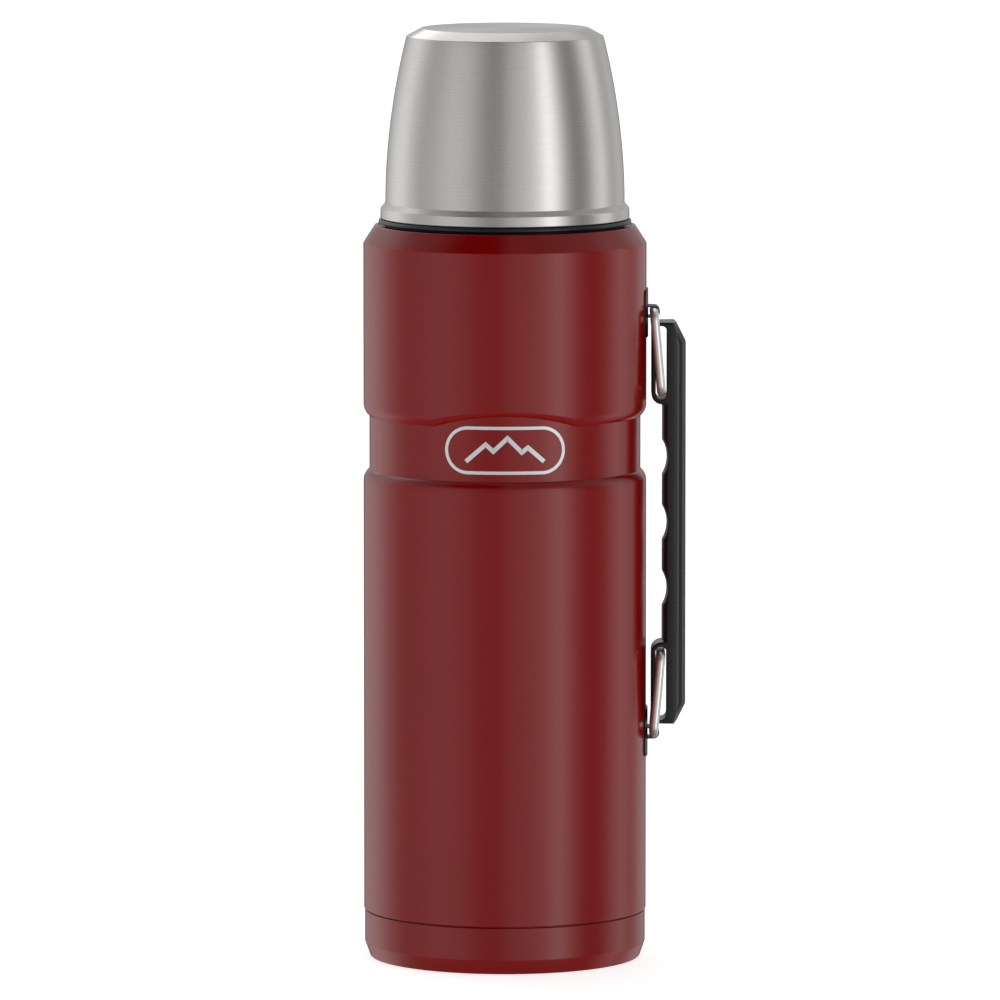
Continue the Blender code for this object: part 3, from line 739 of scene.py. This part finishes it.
    def printed_line(self, path: np.ndarray, width: float, closed: bool) -> bpy.types.Mesh:
        """A flat line of ink wrapped round the waist.

        A point at distance x across the front lies at angle x / radius, so a line keeps its real
        length. At a corner between unit directions a and b the line's edge moves along
        (a + b) / (1 + a . b), turned square.

        Args:
            path: (across, up) points from the emblem's middle.
            width: The line's width.
            closed: Whether the line is a loop.

        Returns:
            The closed mesh, 0.08 mm thick and half sunk in the paint.
        """
        loop = np.vstack([path, path[:1]]) if closed else path
        fine = split_lines(loop, parts_of(loop, 0.6))
        fine = fine[:-1] if closed else fine
        ahead, back = np.roll(fine, -1, axis=0) - fine, fine - np.roll(fine, 1, axis=0)
        if not closed:
            ahead[-1], back[0] = back[-1], ahead[0]
        ahead /= np.linalg.norm(ahead, axis=1, keepdims=True)
        back /= np.linalg.norm(back, axis=1, keepdims=True)
        along = (ahead + back) / (1.0 + (ahead * back).sum(axis=1, keepdims=True))
        across = np.stack([-along[:, 1], along[:, 0]], axis=1) * width / 2.0
        edges = np.stack([fine + across, fine + across, fine - across, fine - across], axis=1)
        depth = self.waist_radius + self.ink * np.array([-1.0, 1.0, 1.0, -1.0])
        angle = -math.pi / 2.0 + edges[..., 0] / self.waist_radius
        points = round_axis(depth, angle, edges[..., 1] + self.print_height)
        faces = grid_faces(len(fine), 4, closed, True).tolist()
        if not closed:
            last = 4 * (len(fine) - 1)
            faces += [[0, 1, 2, 3], [last, last + 1, last + 2, last + 3]]
        return solid_mesh("printed_line", points, faces)


# ------------------------------------------------------------ cup


@dataclass
class SteelCup:
    """The brushed cup that screws over the stopper, and the black ring under its mouth."""

    top: float = 369.0
    mouth: float = 294.0
    rim_radius: float = 49.25
    bead_radius: float = 47.28
    bead: float = 300.1
    brow: tuple[float, float] = (38.9, 365.9)  # radius and height of the side's upper end
    face_radius: float = 33.2
    wall: float = 0.5
    bow_power: float = 1.95
    ring_radius: float = 50.03
    ring_foot: tuple[float, float] = (43.9, 47.5)  # the ring's bore and its foot's radius

    def __post_init__(self) -> None:
        """Take the driving sizes from the frame."""
        low, high = box_mm("cup_outer_shell")
        self.mouth, self.top, self.rim_radius = float(low[2]), float(high[2]), float(high[0])
        self.ring_radius = float(box_mm("cup_rim_ring")[1][0])

    def side(self, offset: float, rows: int) -> np.ndarray:
        """The bowed side, whose radius falls with a power of the height.

        Args:
            offset: How far in from the outside.
            rows: Steps from top to bottom.

        Returns:
            (radius, height) points from the top down.
        """
        share = np.linspace(1.0, 0.0, rows)
        radius = self.bead_radius - (self.bead_radius - self.brow[0]) * share**self.bow_power - offset
        return np.stack([radius, self.bead + (self.brow[1] - self.bead) * share], axis=1)

    def build(self) -> None:
        """Make the cup's visible pieces."""
        show("brushed_cup", self.cup(), BRUSHED_STEEL, "cup", "brushed_steel", "cup_outer_shell")
        show("black_rim_ring", self.ring(), BLACK_RING, "cup_lift", "black_ring", "cup_rim_ring")

    def cup(self) -> bpy.types.Mesh:
        """The cup's steel outside: flat top, bright chamfer, bowed side and rolled foot.

        Returns:
            The closed mesh.
        """
        side = self.side(0.0, 40)
        face = [(0.0, self.top, 0.0), (self.face_radius, self.top, 0.35)]
        crown = filleted([*face, (*self.brow, 0.5), (*side[2], 0.0)], steps=5)
        foot = filleted(
            [
                (*side[-2], 0.0),
                (self.bead_radius, self.bead, 0.5),
                (self.rim_radius - 0.12, self.bead - 2.05, 1.0),
                (self.rim_radius, self.mouth + 0.3, 0.3),
                (self.rim_radius - 0.3, self.mouth, 0.1),
                (self.rim_radius - self.wall, self.mouth, 0.0),
                (self.rim_radius - self.wall - 0.12, self.bead - 2.3, 0.5),
                (self.bead_radius - self.wall, self.bead - 0.2, 0.0),
            ]
        )
        inside = self.side(self.wall, 12)[::-1]
        lid = np.array([(self.face_radius - 0.3, self.top - self.wall), (0.0, self.top - self.wall)])
        profile = np.vstack([crown, side[3:-2], foot, inside[1:], lid])
        return turned("brushed_cup", profile, ROUND_STEPS, False)

    def ring(self) -> bpy.types.Mesh:
        """The black ring: a rounded bulge outside and a foot that seats on the shoulder's ledge.

        Returns:
            The closed mesh.
        """
        low, high = (corner[2] for corner in box_mm("cup_rim_ring"))
        outer, (bore, foot) = self.ring_radius, self.ring_foot
        profile = filleted(
            [
                (bore, high, 0.0),
                (outer - 0.6, high, 0.5),
                (outer, high - 0.7, 0.7),
                (outer - 0.25, high - 1.7, 0.6),
                (foot, high - 1.8, 0.2),
                (foot, low, 0.2),
                (bore, low, 0.2),
            ],
            True,
        )
        return turned("black_rim_ring", profile, ROUND_STEPS, True)


# ------------------------------------------------------------ handle


@dataclass
class CarryHandle:
    """The moulded grip, its two wire rings and the brackets that hold them."""

    half_width: float = 8.5
    outer: float = 71.5
    grip: float = 62.1
    lobe: float = 57.9
    middle: float = 173.15
    half_length: float = 79.85
    slot: tuple[float, float] = (59.6, 64.0)
    slot_ends: tuple[float, float] = (49.2, 78.4)  # from the handle's middle
    scallop_pitch: float = 26.1
    scallop_half: float = 6.9
    scallop_depth: float = 1.9
    wire: float = 1.7
    ring_half_width: float = 11.3
    ring_bend: float = 3.9
    bracket_shift: float = 0.45  # towards the grip's middle
    plate_half: tuple[float, float] = (10.5, 9.4)  # half the bracket plate's width and height
    plate_corner: float = 2.6
    plate_radii: tuple[float, float] = (56.03, 56.68)  # from the bottle's axis, inside and outside
    welds: tuple[float, float, float] = (6.9, 1.7, 0.14)  # height from the middle, radius, depth
    strap: tuple[float, float] = (0.45, 5.4)  # the loop's thickness and half its width
    strap_gap: float = 1.85  # from the bar's middle to the strap
    strap_root: float = 56.35
    # Shares of half the width at which the grip's outline is drawn.
    layers: tuple[float, ...] = (
        0.0, 0.2, 0.34, 0.38, 0.49, 0.588, 0.7, 0.78, 0.847, 0.92, 0.965, 0.985, 1.0,
    )
    # Top of the flat side's crown, its reach outwards and towards the fingers, and its drop at 1 mm.
    crown: tuple[float, float, float, float] = (66.4, 1.6, 1.1, 0.06)
    groove_pitch: float = 1.6
    groove_depth: float = 0.12
    groove_half: float = 16.8  # the grooves end this far from the grip's middle

    def __post_init__(self) -> None:
        """Take the driving sizes from the frame."""
        low, high = box_mm("handle_grip")
        self.half_width, self.outer, self.lobe = float(high[1]), float(high[0]), float(low[0])
        self.middle = float(low[2] + high[2]) / 2.0
        self.half_length = float(high[2] - low[2]) / 2.0

    def build(self) -> None:
        """Make the grip, both rings and both brackets."""
        grip = self.grip_mesh()
        show("moulded_handle", grip, BLACK_PLASTIC, "handle", "black_plastic", "handle_grip")
        hook = joint_mm("handle_pivot")
        top, bottom = joint_mm("top_ring_swing"), joint_mm("bottom_ring_swing")
        mirrored_hook = np.array([hook[0], 0.0, bottom[2] + top[2] - hook[2]])
        for name, ring, pivot, far in (
            ("upper_wire_ring", "top_ring", top, hook),
            ("lower_wire_ring", "bottom_ring", bottom, mirrored_hook),
        ):
            show(name, self.wire_ring(pivot, far), BRIGHT_WIRE, ring, "bright_wire", ring)
        for name, node, pivot in (
            ("upper_bracket", "top_bracket", top),
            ("lower_bracket", "bottom_bracket", bottom),
        ):
            show(name, self.bracket(pivot), BLACK_ENAMEL, "bottle", "black_enamel", node)

    def outlines(self) -> tuple[np.ndarray, np.ndarray]:
        """The grip's side view at its widest, and the smaller one on its flat sides.

        Both have the same corners in the same order, so that each point of one belongs to a point of
        the other.

        Returns:
            (x, height from the middle) of the full outline and of the side's outline.
        """
        end, lobe_end = self.half_length, 47.35
        full = [
            (self.outer, end - 8.0, 1.0),
            (self.outer - 4.0, end, 1.2),
            (self.lobe, end, 1.8),
            (self.lobe, lobe_end, 4.1),
            (self.grip, lobe_end, 0.1),
        ]
        side = [
            (self.outer - 3.45, end - 8.7, 1.0),
            (self.outer - 5.1, end - 0.9, 1.2),
            (self.lobe + 0.7, end - 0.8, 1.4),
            (self.lobe + 0.7, lobe_end + 0.7, 3.6),
            (self.grip + 2.6, lobe_end + 0.7, 0.1),
        ]
        both = []
        for corners in (full, side):
            lower = [(x, -up, turn) for x, up, turn in corners[::-1]]
            both.append(filleted(corners + lower, True, 8))
        closed = [np.vstack([line, line[:1]]) for line in both]
        counts = parts_of(closed[0], 0.5)
        return split_lines(closed[0], counts)[:-1], split_lines(closed[1], counts)[:-1]

    def scallops(self, up: np.ndarray) -> np.ndarray:
        """Depth of the finger scallops: arcs of one circle, cut into the grip's inner face.

        Args:
            up: Height from the handle's middle.

        Returns:
            How far the face moves away from the bottle.
        """
        half, depth = self.scallop_half, self.scallop_depth
        circle = (half**2 + depth**2) / (2.0 * depth)
        off = np.stack([np.abs(up - k * self.scallop_pitch) for k in (-1, 0, 1)]).min(axis=0)
        return np.maximum(np.sqrt(np.maximum(circle**2 - off**2, 0.0)) - (circle - depth), 0.0)

    def grooves(self, up: np.ndarray) -> np.ndarray:
        """Depth of the fine grooves on the outer face: a cosine of the height, cut off at 0 and 1."""
        wave = np.clip(3.0 * np.cos(TAU * up / self.groove_pitch), 0.0, 1.0)
        return self.groove_depth * wave * (np.abs(up) < self.groove_half)

    def layered(self, full: np.ndarray, side: np.ndarray, shrink: np.ndarray) -> np.ndarray:
        """Outlines at each layer across the handle, from the -Y side to the +Y side.

        Args:
            full: The outline at its largest.
            side: The outline on the flat sides.
            shrink: For each layer and point, the share of the way from full to side.

        Returns:
            A grid of points, one row a layer.
        """
        steps = np.array(self.layers)
        across = np.concatenate([-steps[::-1], steps[1:]]) * self.half_width
        share = np.vstack([shrink[::-1], shrink[1:]])[..., None]
        flat = full[None] * (1.0 - share) + side[None] * share
        depth = np.repeat(across[:, None], full.shape[0], axis=1)
        return np.stack([flat[..., 0], depth, flat[..., 1] + self.middle], axis=-1)

    def grip_mesh(self) -> bpy.types.Mesh:
        """The grip: outlines that shrink towards the flat sides, with a slot through each end.

        The outer edge is a small edge break, a 45 degree chamfer and a steeper facet. The finger side
        is round, 1 - sqrt(1 - t^2), t being the share of half the width, and the rest has a narrow
        chamfer.

        Returns:
            The closed mesh.
        """
        steps = np.array(self.layers)[:, None]
        full, side = self.outlines()
        chamfer = np.interp(steps, [0.0, 0.588, 0.847, 0.965, 1.0], [0.0, 0.0, 0.42, 0.768, 1.0])
        round_side = 1.0 - np.sqrt(1.0 - steps**2)
        tight = np.interp(steps, [0.0, 0.92, 1.0], [0.0, 0.0, 1.0])
        outside = full[:, 0] > self.outer - 4.4
        inside = (np.abs(full[:, 1]) < 47.0) & ~outside
        shrink = np.where(outside, chamfer, np.where(inside, round_side, tight))
        full = full.copy()
        full[:, 0] += np.where(inside, self.scallops(full[:, 1]), 0.0)
        rings = [self.layered(full, side, shrink)]
        on_face = full[:, 0] > self.outer - 0.01
        middle = np.abs(rings[0][:, :1, 1]) < 0.36 * self.half_width
        rings[0][..., 0] -= np.where(middle & on_face, self.grooves(full[:, 1]), 0.0)
        for sign in (1, -1):
            hole, wider = (self.slot_outline(sign, extra) for extra in (0.0, 0.35))
            rings.append(self.layered(hole, wider, np.repeat(tight, len(hole), axis=1)))
        return self.closed_grip(rings)

    def slot_outline(self, sign: int, extra: float) -> np.ndarray:
        """The round-ended slot near one end of the grip: four corners with the widest fillets.

        Args:
            sign: 1 for the upper slot and -1 for the lower one.
            extra: How much it is grown on every side.

        Returns:
            (x, height from the middle) points.
        """
        low, high = self.slot_ends[0] - extra, self.slot_ends[1] + extra
        left, right = self.slot[0] - extra, self.slot[1] + extra
        turn = (right - left) / 2.0 - 0.01
        corners = [(right, low, turn), (right, high, turn), (left, high, turn), (left, low, turn)]
        return filleted(corners, True, 10) * np.array([1.0, float(sign)])

    def crowned(self, mesh: bpy.types.Mesh) -> bpy.types.Mesh:
        """Give the flat sides a slight crown, round near its top and straight towards the fingers.

        With d the distance from the crown's top, y is scaled by 1 - drop / half width. The drop is
        k d^2 up to the reach on either side. It stays the same beyond the outer reach, and follows
        its tangent beyond the other.

        Args:
            mesh: The grip with flat sides, which are first cut into strips.

        Returns:
            The same mesh.
        """
        top, outer_reach, inner_reach, bow = self.crown
        form = bmesh.new()
        form.from_mesh(mesh)
        for place in np.arange(self.lobe + 0.8, self.outer - 3.0, 0.6):
            every = form.verts[:] + form.edges[:] + form.faces[:]
            spot = (place * MM, 0.0, 0.0)
            bmesh.ops.bisect_plane(form, geom=every, plane_co=spot, plane_no=(1.0, 0.0, 0.0))
        form.to_mesh(mesh)
        form.free()
        flat = np.empty(len(mesh.vertices) * 3)
        mesh.vertices.foreach_get("co", flat)
        points = flat.reshape(-1, 3)
        away = points[:, 0] / MM - top
        tangent = inner_reach * (-2.0 * away - inner_reach)
        drop = bow * np.where(away < -inner_reach, tangent, np.minimum(away, outer_reach) ** 2)
        points[:, 1] *= 1.0 - drop / self.half_width
        mesh.vertices.foreach_set("co", points.ravel())
        mesh.shade_smooth()
        mesh.set_sharp_from_angle(angle=math.radians(14.0))
        return mesh

    def closed_grip(self, rings: list[np.ndarray]) -> bpy.types.Mesh:
        """Join the outside and the slots by the two flat sides.

        Args:
            rings: Grids of layered outlines, the outside first.

        Returns:
            The closed mesh.
        """
        faces: list = []
        numbers, start = [], 0
        for ring in rings:
            rows, columns = ring.shape[:2]
            faces += (grid_faces(rows, columns, False, True) + start).tolist()
            numbers.append(start + np.arange(rows * columns).reshape(rows, columns))
            start += rows * columns
        for layer in (0, -1):
            loops = [[Vector((p[0], p[2], 0.0)) for p in ring[layer]] for ring in rings]
            edge = np.concatenate([grid[layer] for grid in numbers])
            faces += edge[np.array(tessellate_polygon(loops))].tolist()
        points = np.concatenate([ring.reshape(-1, 3) for ring in rings])
        return self.crowned(solid_mesh("moulded_handle", points, faces, 24.0))

    def wire_ring(self, pivot: np.ndarray, hook: np.ndarray) -> bpy.types.Mesh:
        """A ring of round wire bent to a rectangle, from its pivot bar to the bar at the handle.

        Args:
            pivot: Middle of the pivot bar.
            hook: Middle of the other bar.

        Returns:
            The closed mesh.
        """
        length = float(np.linalg.norm(hook - pivot))
        away = (hook - pivot) / length
        half, bend = self.ring_half_width, self.ring_bend
        corners = [(half, 0.0, bend), (half, length, bend), (-half, length, bend), (-half, 0.0, bend)]
        loop = filleted(corners, True, 10)
        loop = np.vstack([loop, loop[:1]])
        flat = split_lines(loop, parts_of(loop, 3.0))[:-1]
        along = np.roll(flat, -1, axis=0) - np.roll(flat, 1, axis=0)
        along /= np.linalg.norm(along, axis=1, keepdims=True)
        sideways = np.array([0.0, 1.0, 0.0])
        centre = pivot + flat[:, :1] * sideways + flat[:, 1:] * away
        normal = along[:, 1:] * sideways - along[:, :1] * away
        up = np.repeat(np.cross(sideways, away)[None], len(flat), axis=0)
        turn = np.arange(28) * TAU / 28
        section = self.wire * np.stack([np.cos(turn), np.sin(turn)], axis=1)
        return swept("wire_ring", centre, normal, up, section, True)

    def bracket(self, pivot: np.ndarray) -> bpy.types.Mesh:
        """A curved plate with two weld marks, and a pressed loop over the bar at pivot."""
        plate = self.bracket_plate(float(pivot[2]))
        return joined("bracket", [plate, self.bracket_loop(pivot)])

    def bracket_plate(self, middle: float) -> bpy.types.Mesh:
        """The plate, whose half width follows a quarter circle near its two ends.

        Args:
            middle: Height of its pivot, which its own middle is shifted from.

        Returns:
            The closed mesh.
        """
        middle += math.copysign(self.bracket_shift, self.middle - middle)
        half_width, half_height = self.plate_half
        inner, outer = self.plate_radii
        corner = self.plate_corner
        turn = np.sin(np.linspace(-1.0, 1.0, 61) * math.pi / 2.0)
        up = turn * half_height
        over = np.clip((np.abs(up) - (half_height - corner)) / corner, 0.0, 1.0)
        width = half_width - corner * (1.0 - np.sqrt(1.0 - over**2))
        across = np.linspace(-1.0, 1.0, 41)
        arc = across[None, :] * width[:, None]
        rise = up[:, None] + np.zeros_like(arc)
        dent = np.zeros_like(arc)
        place, size, depth = self.welds
        for spot in (-place, place):
            off = np.hypot(arc, rise - spot)
            dent -= depth * np.clip(1.0 - (off / size) ** 4, 0.0, 1.0)
        front = outer + dent - 0.12 * np.abs(across)[None, :] ** 12
        radius = np.hstack([front, np.full_like(arc, inner)[:, ::-1]])
        angle = np.hstack([arc, arc[:, ::-1]]) / outer
        points = round_axis(radius, angle, np.hstack([rise, rise]) + middle)
        rows, columns = radius.shape
        last = (rows - 1) * columns
        faces = grid_faces(rows, columns, False, True).tolist()
        faces += [list(range(columns)), list(range(last, last + columns))]
        return solid_mesh("bracket_plate", points, faces)

    def bracket_loop(self, pivot: np.ndarray) -> bpy.types.Mesh:
        """The strap that leaves the plate, passes round the pivot bar and comes back.

        Args:
            pivot: Middle of the bar.

        Returns:
            The closed mesh.
        """
        thick, half = self.strap
        middle = self.strap_gap + thick / 2.0
        swing = np.linspace(-math.pi / 2.0, math.pi / 2.0, 25)
        bend = pivot[[0, 2]] + middle * np.stack([np.cos(swing), np.sin(swing)], axis=1)
        foot, head = ((self.strap_root, pivot[2] + side * middle) for side in (-1.0, 1.0))
        path = np.vstack([foot, bend, head])
        along = np.gradient(path, axis=0)
        along[0], along[-1] = (1.0, 0.0), (-1.0, 0.0)
        along /= np.linalg.norm(along, axis=1, keepdims=True)
        centre = np.stack([path[:, 0], np.full(len(path), pivot[1]), path[:, 1]], axis=1)
        normal = np.stack([along[:, 1], np.zeros(len(path)), -along[:, 0]], axis=1)
        sideways = np.repeat(np.array([[0.0, 1.0, 0.0]]), len(path), axis=0)
        section = filleted([(x * half, y * thick / 2.0, 0.2) for x, y in SQUARE], True, 3)
        return swept("bracket_loop", centre, sideways, normal, section, False)


# ------------------------------------------------------------ pieces kept from the CAD


@dataclass(frozen=True)
class HiddenWorks:
    """Inner pieces whose CAD shape is right and which only need their finishes."""

    finishes: tuple[tuple[Finish, tuple[str, ...]], ...] = (
        (LINER_STEEL, ("inner_vessel", "bottom_plate", "vacuum_seal_plug")),
        (COPPER_FOIL, ("radiation_shield",)),
        (GETTER_ALLOY, ("getter",)),
        (FOAM, ("stopper_core",)),
        (SILICONE, ("stopper_seal", "stopper_oring")),
        (BLACK_PLASTIC, ("cup_inner_liner", "stopper_body", "stopper_cap", "stopper_base")),
    )

    def dress(self) -> None:
        """Give each kept CAD node its finish."""
        for finish, nodes in self.finishes:
            for node in nodes:
                for slot in frame["nodes"][node].material_slots:
                    slot.material = finish.material()
                LOG.info("%s: %s", node, finish.name)


# ------------------------------------------------------------ studio


@dataclass(frozen=True)
class Panel:
    """A soft-edged light or dark cloth hung in the tent. Angles are in degrees."""

    name: str
    level: float
    bearing: float  # of its middle, round from the front towards the handle
    half: float  # half its width
    low: float  # its lower edge's height over the horizon
    high: float
    soft: tuple[float, float, float, float]  # how wide its left, right, lower and upper edges fade


@dataclass(frozen=True)
class Studio:
    """A white light tent with soft strips round it, a pale floor and the camera."""

    # Brightness of the tent's wall, by degrees round from the front towards the handle's side.
    wall: tuple[tuple[float, float], ...] = (
        (-180.0, 0.52), (-158.0, 0.48), (-142.0, 0.78), (-130.0, 1.02), (-118.0, 1.06),
        (-104.0, 0.72), (-90.0, 0.48), (-74.0, 0.56), (-60.0, 0.74), (-46.0, 0.74),
        (-34.0, 0.60), (-22.0, 0.34), (-12.0, 0.25), (-1.0, 0.31), (1.0, 0.50), (12.0, 0.64),
        (24.0, 0.80), (34.0, 1.10), (41.0, 1.80), (47.0, 1.85), (54.0, 1.15), (62.0, 0.50),
        (71.0, 0.20), (80.0, 0.18), (88.0, 0.34), (98.0, 0.80), (110.0, 1.10), (118.0, 0.66),
        (128.0, 0.46), (142.0, 0.62), (154.0, 0.50), (180.0, 0.52),
    )
    panels: tuple[Panel, ...] = (
        Panel("canopy", 0.36, 0.0, 180.0, 47.0, 90.0, (1.0, 1.0, 25.0, 1.0)),
        Panel("left_flag", 0.0, -25.0, 25.0, 47.0, 70.0, (42.0, 1.5, 18.0, 9.0)),
        Panel("right_flag", 0.24, 18.0, 18.0, 47.0, 70.0, (1.5, 45.0, 18.0, 9.0)),
        Panel("roof_box", 1.3, -158.0, 24.0, 40.0, 68.0, (44.0, 22.0, 14.0, 10.0)),
        Panel("rear_lamp", 2.2, -165.0, 6.0, 21.0, 32.0, (5.0, 6.0, 5.0, 5.0)),
        Panel("dark_floor", 0.14, 0.0, 180.0, -90.0, -48.0, (1.0, 1.0, 1.0, 26.0)),
        Panel("low_back", 0.12, 180.0, 13.0, -90.0, -1.0, (5.0, 5.0, 1.0, 3.0)),
    )
    brightest: float = 2.0
    camera_place: tuple[float, float, float] = (-0.00196, -4.0984, 0.6346)
    camera_tilt: float = 83.694
    lens: float = 374.62
    floor_half: float = 12.0  # metres
    floor_drop: float = 0.2 * MM  # just clear of the foot, so that the two faces don't fight
    floor_tones: tuple[float, float] = (0.86, 0.87)
    floor_glow: float = 0.7

    def build(self) -> None:
        """Make the world, the floor and the camera."""
        self.light()
        self.floor()
        self.camera()

    def light(self) -> None:
        """The tent: a wall that goes round in soft strips, with the panels hung in front of it."""
        world = bpy.data.worlds.new("light_tent")
        bpy.context.scene.world = world
        world.use_nodes = True
        tree = world.node_tree
        ray = add_node(tree, "TexCoord", {}).outputs["Generated"]
        axes = add_node(tree, "SeparateXYZ", {0: ray}).outputs
        front = add_node(tree, "Math", {0: axes["Y"], 1: -1.0}, operation="MULTIPLY").outputs[0]
        sides = {0: axes["X"], 1: front}
        bearing = add_node(tree, "Math", sides, operation="ARCTAN2").outputs[0]
        height = add_node(tree, "Math", {0: axes["Z"]}, operation="ARCSINE").outputs[0]
        round_in = {"Value": bearing, "From Min": -math.pi, "From Max": math.pi}
        share = add_node(tree, "MapRange", round_in).outputs["Result"]
        ramp = add_node(tree, "ValToRGB", {"Fac": share})
        stops = ramp.color_ramp.elements
        for number, (degrees, level) in enumerate(self.wall):
            place = (degrees + 180.0) / 360.0
            stop = stops[number] if number < 2 else stops.new(place)
            stop.position = place
            stop.color = (level / self.brightest,) * 3 + (1.0,)
        scaled = {0: ramp.outputs["Color"], 1: self.brightest}
        level = add_node(tree, "Math", scaled, operation="MULTIPLY").outputs[0]
        for panel in self.panels:
            level = self.hang(tree, level, panel, bearing, height)
        seen = add_node(tree, "LightPath", {}).outputs["Is Camera Ray"]
        final = add_node(tree, "Mix", {0: seen, 2: level, 3: 1.0}, data_type="FLOAT").outputs[0]
        tree.links.new(final, tree.nodes["Background"].inputs["Strength"])
        tree.nodes["Background"].inputs["Color"].default_value = (1.0, 1.0, 1.0, 1.0)
        bpy.context.scene.view_settings.view_transform = "Standard"

    def hang(
        self,
        tree: bpy.types.NodeTree,
        level: Socket,
        panel: Panel,
        bearing: Socket,
        height: Socket,
    ) -> Socket:
        """Mix a panel over the tent: its cover is the product of a smooth step at each edge.

        Args:
            tree: The world's node tree.
            level: The brightness so far.
            panel: The panel.
            bearing: Angle round from the front, in radians.
            height: Angle over the horizon, in radians.

        Returns:
            The brightness with the panel in it.
        """
        turned_in = {0: bearing, 1: -math.radians(panel.bearing)}
        turned_by = add_node(tree, "Math", turned_in, operation="ADD").outputs[0]
        wrapped = {0: turned_by, 1: -math.pi, 2: math.pi}
        across = add_node(tree, "Math", wrapped, operation="WRAP").outputs[0]
        left, right, under, over = panel.soft
        edges = (
            (across, -panel.half - left, -panel.half),
            (across, panel.half + right, panel.half),
            (height, panel.low - under, panel.low),
            (height, panel.high + over, panel.high),
        )
        cover: Socket | float = 1.0
        for value, *degrees in edges:
            outside, inside = (math.radians(angle) for angle in degrees)
            span = {"Value": value, "From Min": outside, "From Max": inside}
            step = add_node(tree, "MapRange", span, interpolation_type="SMOOTHSTEP")
            both = {0: step.outputs["Result"], 1: cover}
            cover = add_node(tree, "Math", both, operation="MULTIPLY").outputs[0]
        covered = {0: cover, 2: level, 3: panel.level}
        return add_node(tree, "Mix", covered, data_type="FLOAT").outputs[0]

    def floor(self) -> None:
        """A wide pale floor at the foot of the bottle."""
        mesh = bpy.data.meshes.new("studio_floor")
        corners = [(x * self.floor_half, y * self.floor_half, -self.floor_drop) for x, y in SQUARE]
        mesh.from_pydata(corners, [], [(0, 1, 2, 3)])
        material = bpy.data.materials.new("pale_floor")
        material.use_nodes = True
        tree = material.node_tree
        shader = tree.nodes["Principled BSDF"]
        spot = add_node(tree, "TexCoord", {}).outputs["Object"]
        cloud = add_node(tree, "TexNoise", {"Vector": spot, "Scale": 3.0}).outputs["Fac"]
        first, second = ((tone, tone, tone, 1.0) for tone in self.floor_tones)
        pale = add_node(tree, "Mix", {0: cloud, 6: first, 7: second}, data_type="RGBA")
        tree.links.new(pale.outputs[2], shader.inputs["Base Color"])
        shader.inputs["Roughness"].default_value = 0.9
        shader.inputs["Specular IOR Level"].default_value = 0.0
        shader.inputs["Emission Color"].default_value = (1.0, 1.0, 1.0, 1.0)
        shader.inputs["Emission Strength"].default_value = self.floor_glow
        mesh.materials.append(material)
        floor = bpy.data.objects.new("studio_floor", mesh)
        floor.visible_glossy = False
        bpy.context.scene.collection.objects.link(floor)

    def camera(self) -> None:
        """A long lens, a little above the cup's height, looking slightly down."""
        data = bpy.data.cameras.new("studio_camera")
        data.lens = self.lens
        data.sensor_width = 36.0
        data.clip_end = 100.0
        camera = bpy.data.objects.new("studio_camera", data)
        camera.location = self.camera_place
        camera.rotation_euler = (math.radians(self.camera_tilt), 0.0, 0.0)
        bpy.context.scene.collection.objects.link(camera)
        bpy.context.scene.camera = camera


def main() -> None:
    """Build every sub-assembly and the studio."""
    logging.basicConfig(level=logging.INFO, format="%(name)s %(message)s")
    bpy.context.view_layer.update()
    PaintedBody().build()
    SteelCup().build()
    CarryHandle().build()
    HiddenWorks().dress()
    Studio().build()


if __name__ == "__main__":
    main()
